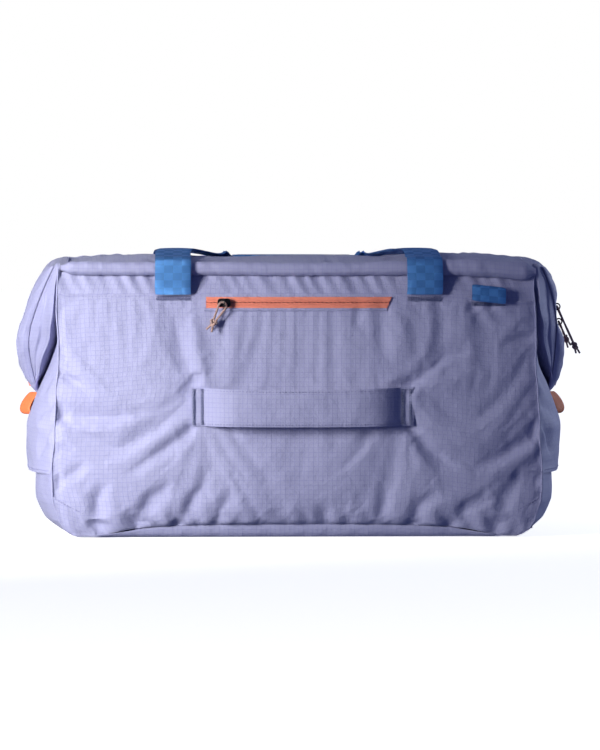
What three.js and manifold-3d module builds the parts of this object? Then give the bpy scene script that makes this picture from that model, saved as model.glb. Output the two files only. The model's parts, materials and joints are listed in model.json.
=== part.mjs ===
// A soft travel duffel with a luggage pass-through strap, in millimetres, +Z up.
// The origin is the middle of the base's underside. The back, with the pass-through strap, faces -Y.
//
// The bag is a box of sewn panels. Two flaps make its top and meet at the main zip, which runs on past
// both ends of the box: there the top folds down over the end as a wing, held by a press stud.

import * as THREE from "three";
import Module from "manifold-3d";
import { mergeVertices } from "three/addons/utils/BufferGeometryUtils.js";

const wasm = await Module();
wasm.setup();

// ---------------------------------------------------------------- driving dimensions
const HALF_W = 256; // middle to the vertical seams at the ends
const HALF_D = 140; // middle to the front and back panels' edges
const TOP = 291; // height of the flaps at their hinge edges
const PANEL_T = 4; // shell, foam and lining together
const FABRIC_T = 1.2; // one sewn layer
const WEBBING_T = 1.8;
const SEAM = 0.4; // gap between pieces that touch

const BASE_T = 5;
const PANEL_LOW = BASE_T + SEAM;
const PANEL_TOP = 276; // where the front and back panels meet their top rolls
const CROWN = 14; // how far the front and back panels swell

const WEBBING_W = 38;
const HANDLE_X = 134; // middle of each handle leg
const CORD_R = 1.1;

const RIPSTOP = new THREE.MeshStandardMaterial({ color: 0x9d9bd0, roughness: 0.7 });
const LINING = new THREE.MeshStandardMaterial({ color: 0x6f6da6, roughness: 0.8 });
const BLUE = new THREE.MeshStandardMaterial({ color: 0x1f4f9a, roughness: 0.45 });
const ORANGE = new THREE.MeshStandardMaterial({ color: 0xe8805f, roughness: 0.7 });
const TAB = new THREE.MeshStandardMaterial({ color: 0xe07830, roughness: 0.7 });
const METAL = new THREE.MeshStandardMaterial({ color: 0x151517, roughness: 0.35, metalness: 0.6 });
const BOARD = new THREE.MeshStandardMaterial({ color: 0x2c2c30, roughness: 0.6 });
const PEACH = new THREE.MeshStandardMaterial({ color: 0xd0a89a, roughness: 0.85 });
const MAROON = new THREE.MeshStandardMaterial({ color: 0x4a2a2c, roughness: 0.85 });

const bag = new THREE.Group();

function add(name, geometry, material) {
  const mesh = new THREE.Mesh(geometry, material);
  mesh.name = name;
  bag.add(mesh);
  return mesh;
}

// ---------------------------------------------------------------- building blocks

// A closed sheet between two grids of points, outer(u, v) and inner(u, v), u and v from 0 to 1.
function sheet(outer, inner, columns, rows) {
  const points = [];
  for (const face of [outer, inner])
    for (let j = 0; j <= rows; j++)
      for (let i = 0; i <= columns; i++) points.push(...face(i / columns, j / rows));
  const layer = (columns + 1) * (rows + 1);
  const at = (i, j, k) => k * layer + j * (columns + 1) + i;
  const index = [];
  const quad = (a, b, c, d) => index.push(a, b, c, a, c, d);
  for (let j = 0; j < rows; j++)
    for (let i = 0; i < columns; i++) {
      quad(at(i, j, 0), at(i + 1, j, 0), at(i + 1, j + 1, 0), at(i, j + 1, 0));
      quad(at(i, j, 1), at(i, j + 1, 1), at(i + 1, j + 1, 1), at(i + 1, j, 1));
    }
  for (let i = 0; i < columns; i++) {
    quad(at(i, 0, 1), at(i + 1, 0, 1), at(i + 1, 0, 0), at(i, 0, 0));
    quad(at(i, rows, 0), at(i + 1, rows, 0), at(i + 1, rows, 1), at(i, rows, 1));
  }
  for (let j = 0; j < rows; j++) {
    quad(at(0, j, 0), at(0, j + 1, 0), at(0, j + 1, 1), at(0, j, 1));
    quad(at(columns, j, 1), at(columns, j + 1, 1), at(columns, j + 1, 0), at(columns, j, 0));
  }
  if (signedVolume(points, index) < 0) index.reverse();
  return new THREE.BufferGeometry()
    .setAttribute("position", new THREE.Float32BufferAttribute(points, 3))
    .setIndex(index);
}

// Six times the volume that the triangles enclose, below zero where they face inwards.
function signedVolume(points, index) {
  const [a, b, c] = [new THREE.Vector3(), new THREE.Vector3(), new THREE.Vector3()];
  let sum = 0;
  for (let i = 0; i < index.length; i += 3) {
    [a, b, c].forEach((corner, k) => corner.fromArray(points, 3 * index[i + k]));
    sum += a.dot(b.cross(c));
  }
  return sum;
}

function solid(geometry) {
  const bare = geometry.index ? geometry.toNonIndexed() : geometry.clone();
  bare.deleteAttribute("normal");
  bare.deleteAttribute("uv");
  const merged = mergeVertices(bare, 1e-3);
  return new wasm.Manifold(
    new wasm.Mesh({
      numProp: 3,
      vertProperties: merged.attributes.position.array,
      triVerts: new Uint32Array(merged.index.array),
    }),
  );
}

function geometryOf(manifold) {
  const mesh = manifold.getMesh();
  return new THREE.BufferGeometry()
    .setAttribute("position", new THREE.BufferAttribute(mesh.vertProperties, 3))
    .setIndex(new THREE.BufferAttribute(mesh.triVerts, 1));
}

const joined = (...parts) => geometryOf(parts.map(solid).reduce((all, part) => all.add(part)));
const cut = (whole, tool) => geometryOf(solid(whole).subtract(solid(tool)));

// A box by its lowest and highest corners.
function box(low, high) {
  const size = high.map((value, k) => value - low[k]);
  return new THREE.BoxGeometry(...size).translate(...high.map((value, k) => (value + low[k]) / 2));
}

function roundedRectangle(halfX, halfY, radius) {
  const shape = new THREE.Shape();
  const corners = [[1, -1, -0.5], [1, 1, 0], [-1, 1, 0.5], [-1, -1, 1]];
  for (const [sx, sy, start] of corners)
    shape.absarc(sx * (halfX - radius), sy * (halfY - radius), radius, start * Math.PI, (start + 0.5) * Math.PI);
  return shape;
}

// A shape drawn in the XZ plane and given a width along Y, centred on Y = 0.
function alongY(shape, width, curveSegments = 8) {
  return new THREE.ExtrudeGeometry(shape, { depth: width, bevelEnabled: false, curveSegments })
    .translate(0, 0, -width / 2)
    .rotateX(Math.PI / 2);
}

const between = (low, high, share) => low + (high - low) * share;

// ---------------------------------------------------------------- the bag's surfaces

const MID_Z = (PANEL_LOW + PANEL_TOP) / 2;
const HALF_Z = (PANEL_TOP - PANEL_LOW) / 2;

// The swell of the front and back panels: full in the middle, none at the seams.
const crown = (x, z) => CROWN * (1 - (x / HALF_W) ** 4) * (1 - ((z - MID_Z) / HALF_Z) ** 4);

// A point on the front (side 1) or back (side -1) panel, or out of it by a distance.
const facePoint = (side, x, z, out) => [x, side * (HALF_D + crown(x, z) + out), z];

// The ends swell most at this height, where what is packed pushes out under the wings.
const END_PEAK_Z = 104;
const END_SWELL = 30;
const END_SPLIT_Z = 70; // seam between an end's upper and lower pieces
const END_TOP = 284.5;
const END_LOW_SWELL = 18;

function endSwell(z) {
  const reach = z > END_PEAK_Z ? 115 : 81;
  const angle = (Math.PI / 2) * Math.min(1, Math.abs(z - END_PEAK_Z) / reach);
  return END_SWELL * Math.cos(angle) ** 2;
}
const endLowSwell = (z) => END_LOW_SWELL * (1 - ((END_SPLIT_Z - z) / (END_SPLIT_Z - PANEL_LOW)) ** 4);
const acrossEnd = (y) => 1 - (y / HALF_D) ** 4;
const endPoint = (side, y, z, swell, out) => [side * (HALF_W + swell(z) * acrossEnd(y) + out), y, z];

// The top's height across the bag: up from each hinge edge to a crest, then down to the zip in the middle.
const CREST = 11;
const HALF_FLAP = 138;
const topHeight = (y) => {
  const share = Math.abs(y) / HALF_FLAP;
  return TOP + CREST * 6.75 * share ** 2 * (1 - share);
};

// ---------------------------------------------------------------- base, board and lining

const basePanel = new THREE.ExtrudeGeometry(roundedRectangle(HALF_W, HALF_D, 14), {
  depth: BASE_T,
  bevelEnabled: false,
  curveSegments: 5,
});
add("base_panel", basePanel, RIPSTOP);

const BOARD_T = 3;
const boardTop = PANEL_LOW + BOARD_T;
add("base_board", box([-245, -128, PANEL_LOW], [245, 128, boardTop]), BOARD);

const LINING_X = 251.4;
const LINING_Y = 133.8;
const LINING_TOP = 282;
const liningLow = boardTop + SEAM;
const liningOuter = box([-LINING_X, -LINING_Y, liningLow], [LINING_X, LINING_Y, LINING_TOP]);
const liningInner = box(
  [FABRIC_T - LINING_X, FABRIC_T - LINING_Y, liningLow + FABRIC_T],
  [LINING_X - FABRIC_T, LINING_Y - FABRIC_T, LINING_TOP + 1],
);
add("lining", cut(liningOuter, liningInner), LINING);

// ---------------------------------------------------------------- front and back panels

for (const [name, side] of [["back_panel", -1], ["front_panel", 1]]) {
  const at = (out) => (u, v) =>
    facePoint(side, between(-HALF_W, HALF_W, u), between(PANEL_LOW, PANEL_TOP, v), out);
  add(name, sheet(at(0), at(-PANEL_T), 24, 20), RIPSTOP);
}

// The base's fabric turned up over the four lower corners, highest at the vertical seam.
const PATCH_FROM = 213;
const PATCH_HIGH = 49;
const PATCH_LOW = 12;
for (const [row, side] of [["back", -1], ["front", 1]])
  for (const [end, sx] of [["left", -1], ["right", 1]]) {
    const at = (out) => (u, v) => {
      const top = between(PATCH_LOW, PATCH_HIGH, u ** 1.2);
      return facePoint(side, sx * between(PATCH_FROM, HALF_W, u), between(PANEL_LOW, top, v), out);
    };
    add(`${row}_${end}_corner_patch`, sheet(at(2 * SEAM + FABRIC_T), at(2 * SEAM), 6, 5), RIPSTOP);
  }

// The padded rolls along the two long top edges.
const ROLL_R = 7.2;
const ROLL_HALF = 250;
const rollZ = PANEL_TOP + SEAM + ROLL_R;
for (const [name, side] of [["back_top_roll", -1], ["front_top_roll", 1]]) {
  const roll = new THREE.CylinderGeometry(ROLL_R, ROLL_R, 2 * ROLL_HALF, 14).rotateZ(Math.PI / 2);
  add(name, roll.translate(0, side * (HALF_D + 1.5), rollZ), RIPSTOP);
}

// ---------------------------------------------------------------- ends

for (const [end, sx] of [["left", -1], ["right", 1]]) {
  const halfY = HALF_D - PANEL_T - SEAM;
  const at = (swell, low, high, out) => (u, v) =>
    endPoint(sx, between(-halfY, halfY, u), between(low, high, v), swell, out);
  add(
    `${end}_end_upper`,
    sheet(at(endSwell, END_SPLIT_Z, END_TOP, 0), at(endSwell, END_SPLIT_Z, END_TOP, -PANEL_T), 10, 12),
    RIPSTOP,
  );
  const lowTop = END_SPLIT_Z - SEAM;
  add(
    `${end}_end_lower`,
    sheet(at(endLowSwell, PANEL_LOW, lowTop, 0), at(endLowSwell, PANEL_LOW, lowTop, -PANEL_T), 10, 5),
    RIPSTOP,
  );
}

// ---------------------------------------------------------------- top: yokes, flaps and the main zip

const FLAP_T = 2.4;
const FLAP_HALF_X = 195.5; // the mouth's half length; the yokes close the top beyond it
const YOKE_FROM = 196;
const YOKE_DROP = 3.5;
const FLAP_FROM = 0.8; // the two flaps' zip edges are this far from the middle
const FLAP_TO = 135.5;
const TAPE_T = 1.2;
const TAPE_HALF = 13;

for (const [row, side] of [["back", -1], ["front", 1]]) {
  const at = (from, to, out) => (u, v) => {
    const y = side * between(from, to, v);
    return [between(-FLAP_HALF_X, FLAP_HALF_X, u), y, topHeight(y) + out];
  };
  add(`${row}_flap_panel`, sheet(at(FLAP_FROM, FLAP_TO, 0), at(FLAP_FROM, FLAP_TO, -FLAP_T), 2, 12), RIPSTOP);
  const tapeAt = (out) => at(FLAP_FROM, TAPE_HALF, out);
  add(`${row}_flap_zip`, sheet(tapeAt(SEAM + TAPE_T), tapeAt(SEAM), 2, 2), ORANGE);
}

for (const [end, sx] of [["left", -1], ["right", 1]]) {
  const at = (halfY, out) => (u, v) => {
    const y = between(-halfY, halfY, v);
    return [sx * between(YOKE_FROM, HALF_W, u), y, topHeight(y) - YOKE_DROP * u ** 2 + out];
  };
  const yokeHalf = HALF_D - PANEL_T - 2.5;
  add(`${end}_top_yoke`, sheet(at(yokeHalf, 0), at(yokeHalf, -FLAP_T), 3, 20), RIPSTOP);
  add(`${end}_yoke_zip`, sheet(at(TAPE_HALF, SEAM + TAPE_T), at(TAPE_HALF, SEAM), 3, 4), ORANGE);
}

// ---------------------------------------------------------------- wings

// A wing's outer profile in its middle: offset out of the end seam, and height.
const WING_TOP_Z = 287.5;
const WING_TIP_Z = 152;
const STRAIGHT_HIGH = new THREE.Vector2(25, 262); // the zip runs straight between these two
const STRAIGHT_LOW = new THREE.Vector2(36, 176);
const wingProfile = new THREE.CurvePath();
wingProfile.add(new THREE.QuadraticBezierCurve(new THREE.Vector2(7, WING_TOP_Z), new THREE.Vector2(22, 274), STRAIGHT_HIGH));
wingProfile.add(new THREE.LineCurve(STRAIGHT_HIGH, STRAIGHT_LOW));
wingProfile.add(new THREE.QuadraticBezierCurve(STRAIGHT_LOW, new THREE.Vector2(37.5, 160), new THREE.Vector2(27, WING_TIP_Z)));

const WING_HALF_TOP = 134;
const WING_HALF_TIP = 24;
const wingHalf = (z) =>
  between(WING_HALF_TIP, WING_HALF_TOP, (z - WING_TIP_Z) / (WING_TOP_Z - WING_TIP_Z));
// Between a wing and the end: the stud's room low down, next to nothing at the fold.
const wingGap = (z) => between(5, 1.6, Math.max(0, (z - 200) / (WING_TOP_Z - 200)));

function wingPoint(sx, u, v, out) {
  const middle = wingProfile.getPointAt(v);
  const half = wingHalf(middle.y);
  const y = between(-half, half, u);
  const inner = endSwell(middle.y) * acrossEnd(y) + wingGap(middle.y);
  const thick = (middle.x - inner) * (0.45 + 0.55 * (1 - (y / half) ** 2));
  return [sx * (HALF_W + inner + (out ? thick : 0)), y, middle.y];
}

// The wing's zip tape, on its middle line.
function wingZipPoint(sx, u, v, out) {
  const middle = wingProfile.getPointAt(v);
  const tangent = wingProfile.getTangentAt(v);
  const x = middle.x - tangent.y * out;
  const z = middle.y + tangent.x * out;
  return [sx * (HALF_W + x), between(-TAPE_HALF, TAPE_HALF, u), z];
}

const STUD_Z = 172;
const STUD_R = 5.5;

// A disc flat on the end panel at the stud's place, from one distance out of it to another.
function studDisc(sx, from, to) {
  const tilt = Math.atan((endSwell(STUD_Z - 1) - endSwell(STUD_Z + 1)) / 2);
  const disc = new THREE.CylinderGeometry(STUD_R, STUD_R, to - from, 12).translate(0, (from + to) / 2, 0);
  disc.rotateZ((-sx * Math.PI) / 2).rotateY(-sx * tilt);
  return disc.translate(sx * (HALF_W + endSwell(STUD_Z)), 0, STUD_Z);
}

// A strap folded into a teardrop, hanging from the origin.
function tipLoop() {
  const length = 17;
  const radius = 5.2;
  const drop = (r, top) => {
    const lean = Math.asin(r / (length - top));
    const path = new THREE.Path();
    path.moveTo(0, -top);
    path.absarc(0, -length, r, Math.PI - lean, lean, false);
    path.lineTo(0, -top);
    return path;
  };
  const outline = new THREE.Shape(drop(radius, 0).getPoints(10));
  outline.holes.push(new THREE.Path(drop(radius - 1.3, 4.6).getPoints(10)));
  return alongY(outline, 20);
}

const LOOP_X = HALF_W + 27.5;
const LOOP_Z = WING_TIP_Z - 0.6;
const LOOP_LEAN = 0.35; // outwards, where the loop lies against the end's swell
for (const [end, sx] of [["left", -1], ["right", 1]]) {
  const wing = sheet((u, v) => wingPoint(sx, u, v, true), (u, v) => wingPoint(sx, u, v, false), 8, 14);
  add(`${end}_wing_panel`, wing, RIPSTOP);
  const zip = sheet(
    (u, v) => wingZipPoint(sx, u, 0.02 + 0.96 * v, SEAM + TAPE_T),
    (u, v) => wingZipPoint(sx, u, 0.02 + 0.96 * v, SEAM),
    2,
    14,
  );
  add(`${end}_wing_zip`, zip, ORANGE);
  add(`${end}_snap_stud`, studDisc(sx, 0.6, 2.1), METAL);
  add(`${end}_snap_cap`, studDisc(sx, 2.5, 4.1), METAL);
  add(`${end}_tip_loop`, tipLoop().rotateY(-sx * LOOP_LEAN).translate(sx * LOOP_X, 0, LOOP_Z), TAB);
}

// ---------------------------------------------------------------- handles

// The middle of a handle leg's webbing, from the flap's hinge edge to the grip: back handle, right leg.
const LEG = new THREE.CatmullRomCurve3(
  [
    [HANDLE_X, -129.5, 297.4],
    [133.5, -110, 303],
    [131, -90, 305.8],
    [122, -68, 305.8],
    [104, -48, 303.2],
    [83, -33.5, 300.2],
    [74, -30.6, 299.2],
    [66.2, -30, 299],
  ].map((p) => new THREE.Vector3(...p)),
);
const GRIP_W = 19; // the webbing folded in half
const GRIP_T = 5;
const GRIP_HALF = 65;

function legPoint(mirrorX, mirrorY, u, v, lift) {
  const middle = LEG.getPointAt(u);
  const tangent = LEG.getTangentAt(u);
  const across = new THREE.Vector3(-tangent.y, tangent.x, 0).normalize();
  const width = between(WEBBING_W, GRIP_W, THREE.MathUtils.smoothstep(u, 0.45, 1));
  const p = middle.addScaledVector(across, (v - 0.5) * width);
  return [mirrorX * p.x, mirrorY * p.y, p.z + lift];
}

for (const [row, my] of [["back", 1], ["front", -1]]) {
  for (const [end, mx] of [["left", -1], ["right", 1]]) {
    const at = (lift) => (u, v) => legPoint(mx, my, u, v, lift);
    add(`${row}_handle_${end}_leg`, sheet(at(WEBBING_T / 2), at(-WEBBING_T / 2), 14, 2), BLUE);
    // The sewn end of the leg, up the panel from its seam to the roll.
    const face = my * -(HALF_D + 9);
    const out = my * -(HALF_D + 9 + WEBBING_T);
    const x = [mx * HANDLE_X - WEBBING_W / 2, mx * HANDLE_X + WEBBING_W / 2];
    add(
      `${row}_${end}_handle_anchor`,
      box([x[0], Math.min(face, out), 246], [x[1], Math.max(face, out), 281]),
      BLUE,
    );
  }
  const grip = new THREE.ExtrudeGeometry(roundedRectangle(GRIP_T / 2, GRIP_W / 2, 2.4), {
    depth: 2 * GRIP_HALF,
    bevelEnabled: false,
    curveSegments: 3,
  });
  grip.translate(0, 0, -GRIP_HALF).rotateY(Math.PI / 2);
  add(`${row}_handle_grip`, grip.translate(0, -30 * my, 299), BLUE);
}

// ---------------------------------------------------------------- pass-through strap

const STRAP_LOW = 120;
const STRAP_HIGH = 161;
const STRAP_T = 2.5;
const strapOut = HALF_D + CROWN + SEAM; // its sewn ends lie on the back panel
const strapFar = HALF_D + CROWN + 22; // its middle clears a telescopic handle
const strapOutline = new THREE.Shape(
  [
    [119, strapOut],
    [108, strapOut],
    [86, strapFar],
    [-86, strapFar],
    [-108, strapOut],
    [-119, strapOut],
    [-119, strapOut + STRAP_T],
    [-109, strapOut + STRAP_T],
    [-87, strapFar + STRAP_T],
    [87, strapFar + STRAP_T],
    [109, strapOut + STRAP_T],
    [119, strapOut + STRAP_T],
  ].map(([x, y]) => new THREE.Vector2(x, -y)),
);
const strap = new THREE.ExtrudeGeometry(strapOutline, { depth: STRAP_HIGH - STRAP_LOW, bevelEnabled: false });
add("trolley_strap", strap.translate(0, 0, STRAP_LOW), RIPSTOP);

// ---------------------------------------------------------------- shoulder-strap loops

// A flat webbing loop standing on the panel's upper seam, one on the back and one diagonally opposite.
const SHOULDER_X = 203;
const SHOULDER_Z = 251;
function shoulderLoop() {
  const outline = roundedRectangle(3.9, 8.5, 3.8);
  outline.holes.push(roundedRectangle(2.5, 7.1, 2.4));
  const loop = new THREE.ExtrudeGeometry(outline, { depth: 37, bevelEnabled: false, curveSegments: 4 });
  // The outline's x becomes Y and its y becomes Z.
  return loop.translate(0, 0, -18.5).rotateX(Math.PI / 2).rotateZ(Math.PI / 2);
}
for (const [name, sx, sy] of [["back_shoulder_loop", 1, -1], ["front_shoulder_loop", -1, 1]]) {
  const y = sy * (HALF_D + crown(SHOULDER_X, SHOULDER_Z) + 5);
  add(name, shoulderLoop().translate(sx * SHOULDER_X, y, SHOULDER_Z + 8.7), BLUE);
}

// ---------------------------------------------------------------- back pocket

const ZIP_Z = 251;
const ZIP_HALF_X = 99;
const ZIP_HALF_H = 6;
const backStrip = (halfH, from, to, rows) => {
  const at = (out) => (u, v) =>
    facePoint(-1, between(-ZIP_HALF_X, ZIP_HALF_X, u), between(ZIP_Z - halfH, ZIP_Z + halfH, v), out);
  return sheet(at(to), at(from), 8, rows);
};
add("back_zip_tape", backStrip(ZIP_HALF_H, SEAM, SEAM + TAPE_T, 3), ORANGE);
add("back_zip_teeth", backStrip(1.4, 2 * SEAM + TAPE_T, 2 * SEAM + TAPE_T + 1.2, 1), ORANGE);
add("back_pocket_pouch", box([-112, -135.5, 118], [112, -134.3, 262]), LINING);

// ---------------------------------------------------------------- zip sliders and their pulls

// Slider frame: +X along the zip, +Z out of the tape, origin on the tape under the ring's middle.
const SLIDER_T = 4;
const RING_LIFT = SLIDER_T + 2; // the ring's middle, above the tape
function slider(ringTurn) {
  const plan = roundedRectangle(7, 4.5, 3);
  const body = new THREE.ExtrudeGeometry(plan, { depth: SLIDER_T, bevelEnabled: false, curveSegments: 4 });
  const ring = new THREE.TorusGeometry(3.4, 0.8, 8, 16).rotateX(Math.PI / 2).rotateZ(ringTurn);
  return joined(body, ring.translate(0, 0, RING_LIFT));
}

// Pull frame: the cord passes through the slider's ring at the origin, along Y, and hangs down -Z.
// One cord is doubled through the ring. Both strands enter the knot, a drop below the ring, and its two
// tails come out underneath.
const KNOT_R = 3.4;
const TAIL = 9;

function pullCord(drop) {
  const strand = [
    [1.4, 0],
    [3.3, -1.4],
    [4, -5],
    [between(4, 1.5, 0.4), between(-5, -(drop - KNOT_R - 1), 0.4)],
    [between(4, 1.5, 0.7), between(-5, -(drop - KNOT_R - 1), 0.7)],
    [1.5, -(drop - KNOT_R - 1)],
  ];
  const other = strand.map(([y, z]) => [-y, z]).reverse();
  const path = new THREE.CatmullRomCurve3([...other, ...strand].map(([y, z]) => new THREE.Vector3(0, y, z)));
  const section = new THREE.Shape();
  section.absarc(0, 0, CORD_R, 0, 2 * Math.PI);
  return new THREE.ExtrudeGeometry(section, {
    extrudePath: path,
    steps: 30,
    curveSegments: 4,
    bevelEnabled: false,
  });
}

function pullKnot(drop) {
  const ball = new THREE.SphereGeometry(KNOT_R, 10, 8).translate(0, 0, -drop);
  const tails = [-1, 1].map((side) =>
    new THREE.CylinderGeometry(CORD_R, CORD_R, TAIL, 8)
      .rotateX(Math.PI / 2)
      .translate(0, 0, -TAIL / 2)
      .rotateX(side * 0.25)
      .translate(0, side * 0.9, -drop - 1),
  );
  return joined(ball, ...tails);
}

// The two main sliders meet nose to nose on the right wing's straight stretch.
const wingLine = new THREE.Vector2().subVectors(STRAIGHT_HIGH, STRAIGHT_LOW).normalize();
const wingTilt = Math.atan2(-wingLine.x, wingLine.y); // of the zip line from the vertical
function onWing(z, out) {
  const share = (z - STRAIGHT_LOW.y) / (STRAIGHT_HIGH.y - STRAIGHT_LOW.y);
  const x = between(STRAIGHT_LOW.x, STRAIGHT_HIGH.x, share);
  return [HALF_W + x + Math.cos(wingTilt) * out, 0, z + Math.sin(wingTilt) * out];
}
const SLIDER_OUT = 2 * SEAM + TAPE_T;
// Lean is a pull's angle out from the wing, and roll its angle along Y, which keeps the two pulls apart.
const MAIN_SLIDERS = [
  { name: "upper", z: 244, lean: 0.39, roll: -0.4, drop: 50 },
  { name: "lower", z: 227.4, lean: 0.42, roll: 0.2, drop: 21 },
];
for (const { name, z, lean, roll, drop } of MAIN_SLIDERS) {
  const body = slider(0).rotateY(Math.PI / 2 - wingTilt);
  add(`${name}_zip_slider`, body.translate(...onWing(z, SLIDER_OUT)), METAL);
  const ring = onWing(z, SLIDER_OUT + RING_LIFT);
  add(`${name}_pull_cord`, pullCord(drop).rotateX(roll).rotateY(-lean).translate(...ring), MAROON);
  add(`${name}_pull_knot`, pullKnot(drop).rotateX(roll).rotateY(-lean).translate(...ring), MAROON);
}

// The back pocket's slider stands at its zip's left end. Its ring is turned, so that the pull lies flat.
const BACK_SLIDER_X = -80;
const BACK_DROP = 24;
const BACK_PULL_SWING = 0.5; // to the left of straight down
const backSliderOut = HALF_D + crown(BACK_SLIDER_X, ZIP_Z) + 4.2;
const backRing = [BACK_SLIDER_X, -backSliderOut - RING_LIFT, ZIP_Z];
const onBack = (geometry) => geometry.rotateZ(-Math.PI / 2).rotateY(BACK_PULL_SWING).translate(...backRing);
const backSlider = slider(Math.PI / 2).rotateX(Math.PI / 2);
add("back_zip_slider", backSlider.translate(BACK_SLIDER_X, -backSliderOut, ZIP_Z), METAL);
add("back_pull_cord", onBack(pullCord(BACK_DROP)), PEACH);
add("back_pull_knot", onBack(pullKnot(BACK_DROP)), PEACH);

export default bag;
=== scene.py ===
# A soft travel duffel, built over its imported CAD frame. The helpers work in millimetres and the meshes are in metres.
import json
import math

import bpy
import numpy as np
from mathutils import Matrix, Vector
from numpy import clip, cos, exp, interp, linspace, maximum, minimum, pi, sign, sin, sqrt, where

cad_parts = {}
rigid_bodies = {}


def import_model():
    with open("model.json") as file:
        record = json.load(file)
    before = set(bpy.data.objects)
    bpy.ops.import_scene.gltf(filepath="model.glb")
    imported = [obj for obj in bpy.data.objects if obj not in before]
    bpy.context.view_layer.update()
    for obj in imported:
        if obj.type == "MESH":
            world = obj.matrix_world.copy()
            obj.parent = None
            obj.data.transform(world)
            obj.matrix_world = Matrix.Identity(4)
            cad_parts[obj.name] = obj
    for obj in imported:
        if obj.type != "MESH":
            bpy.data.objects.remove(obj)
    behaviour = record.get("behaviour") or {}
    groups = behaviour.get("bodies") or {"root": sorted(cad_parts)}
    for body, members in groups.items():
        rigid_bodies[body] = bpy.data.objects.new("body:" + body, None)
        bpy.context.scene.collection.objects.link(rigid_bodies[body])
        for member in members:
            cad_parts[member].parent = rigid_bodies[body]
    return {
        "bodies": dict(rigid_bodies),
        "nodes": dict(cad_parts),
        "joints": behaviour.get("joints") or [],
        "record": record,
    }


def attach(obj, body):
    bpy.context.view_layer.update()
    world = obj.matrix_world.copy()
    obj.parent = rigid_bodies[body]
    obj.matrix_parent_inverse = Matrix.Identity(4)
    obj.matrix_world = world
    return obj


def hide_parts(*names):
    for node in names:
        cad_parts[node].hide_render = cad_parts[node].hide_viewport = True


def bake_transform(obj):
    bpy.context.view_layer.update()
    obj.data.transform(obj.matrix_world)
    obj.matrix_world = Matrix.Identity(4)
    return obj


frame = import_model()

MM = 0.001
scene = bpy.context.scene
scene.view_settings.view_transform = "Standard"
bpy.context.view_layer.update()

# ---- camera


def aim(obj, target):
    obj.rotation_euler = (Vector(target) - obj.location).to_track_quat("-Z", "Y").to_euler()


AZIMUTH, ELEVATION, DISTANCE = math.radians(-2.5), math.radians(1.6), 4.6
target = Vector((0.001, -0.15, 0.174))
camera = bpy.data.objects.new("camera", bpy.data.cameras.new("camera"))
scene.collection.objects.link(camera)
camera.location = target + DISTANCE * Vector(
    (sin(AZIMUTH) * cos(ELEVATION), -cos(AZIMUTH) * cos(ELEVATION), sin(ELEVATION))
)
aim(camera, target)
camera.data.sensor_width = 36
camera.data.lens = 36 * DISTANCE / 0.7995
scene.camera = camera

# ---- node helpers


class Nodes:
    """A material and short calls that add nodes to it."""

    def __init__(self, name):
        self.material = bpy.data.materials.new(name)
        self.material.use_nodes = True
        self.tree = self.material.node_tree
        self.shader = self.tree.nodes["Principled BSDF"]

    def add(self, kind, **settings):
        node = self.tree.nodes.new(kind)
        for key, value in settings.items():
            setattr(node, key, value)
        return node

    def link(self, source, target):
        self.tree.links.new(source, target)

    def feed(self, value, socket):
        """Gives a socket a number, a colour or another node's output."""
        if isinstance(value, (int, float)):
            socket.default_value = value
        elif isinstance(value, tuple):
            socket.default_value = (*value, 1)
        else:
            self.link(value, socket)

    def math(self, operation, *values):
        node = self.add("ShaderNodeMath", operation=operation)
        for socket, value in zip(node.inputs, values):
            self.feed(value, socket)
        return node.outputs[0]

    def mix(self, share, a, b):
        node = self.add("ShaderNodeMix", data_type="RGBA")
        for name, value in (("Factor_Float", share), ("A_Color", a), ("B_Color", b)):
            self.feed(value, next(s for s in node.inputs if s.identifier == name))
        return next(s for s in node.outputs if s.identifier == "Result_Color")

    def cloth_axes(self):
        """The cloth's own coordinates in metres."""
        uv = self.add("ShaderNodeUVMap", uv_map="cloth")
        split = self.add("ShaderNodeSeparateXYZ")
        self.link(uv.outputs[0], split.inputs[0])
        return split.outputs[0], split.outputs[1]

    def place(self):
        return self.add("ShaderNodeTexCoord").outputs["Object"]

    def noise(self, scale, detail=3, vector=None):
        node = self.add("ShaderNodeTexNoise")
        node.inputs["Scale"].default_value = scale
        node.inputs["Detail"].default_value = detail
        self.link(vector or self.place(), node.inputs["Vector"])
        return node.outputs[0]

    def ramp(self, value, low, high):
        """0 below low, 1 above high."""
        node = self.add("ShaderNodeMapRange", interpolation_type="SMOOTHSTEP")
        node.inputs["From Min"].default_value = low
        node.inputs["From Max"].default_value = high
        self.link(value, node.inputs["Value"])
        return node.outputs[0]

    def lines(self, axis, pitch, width):
        """1 on lines of that width, a pitch apart, and 0 between them."""
        share = self.math("FRACT", self.math("DIVIDE", axis, pitch))
        away = self.math("ABSOLUTE", self.math("SUBTRACT", share, 0.5))
        half = width / pitch / 2
        return self.ramp(away, 0.5 - 1.6 * half, 0.5 - 0.4 * half)

    def wave(self, axis, pitch):
        return self.math("SINE", self.math("MULTIPLY", axis, 2 * pi / pitch))

    def bump(self, *layers):
        """Stacks (height, distance in metres) layers into the shader's normal."""
        normal = None
        for height, distance in layers:
            node = self.add("ShaderNodeBump")
            node.inputs["Distance"].default_value = distance
            self.link(height, node.inputs["Height"])
            if normal:
                self.link(normal, node.inputs["Normal"])
            normal = node.outputs[0]
        self.link(normal, self.shader.inputs["Normal"])

    def finish(self, color, roughness, metallic=0.0, sheen=0.0, specular=0.5):
        inputs = self.shader.inputs
        self.feed(color, inputs["Base Color"])
        self.feed(roughness, inputs["Roughness"])
        inputs["Metallic"].default_value = metallic
        inputs["Sheen Weight"].default_value = sheen
        inputs["Sheen Roughness"].default_value = 0.4
        inputs["Specular IOR Level"].default_value = specular
        return self.material


# ---- materials

LAVENDER = (0.375, 0.38, 0.575)
LAVENDER_LINE = (0.25, 0.255, 0.55)


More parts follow.
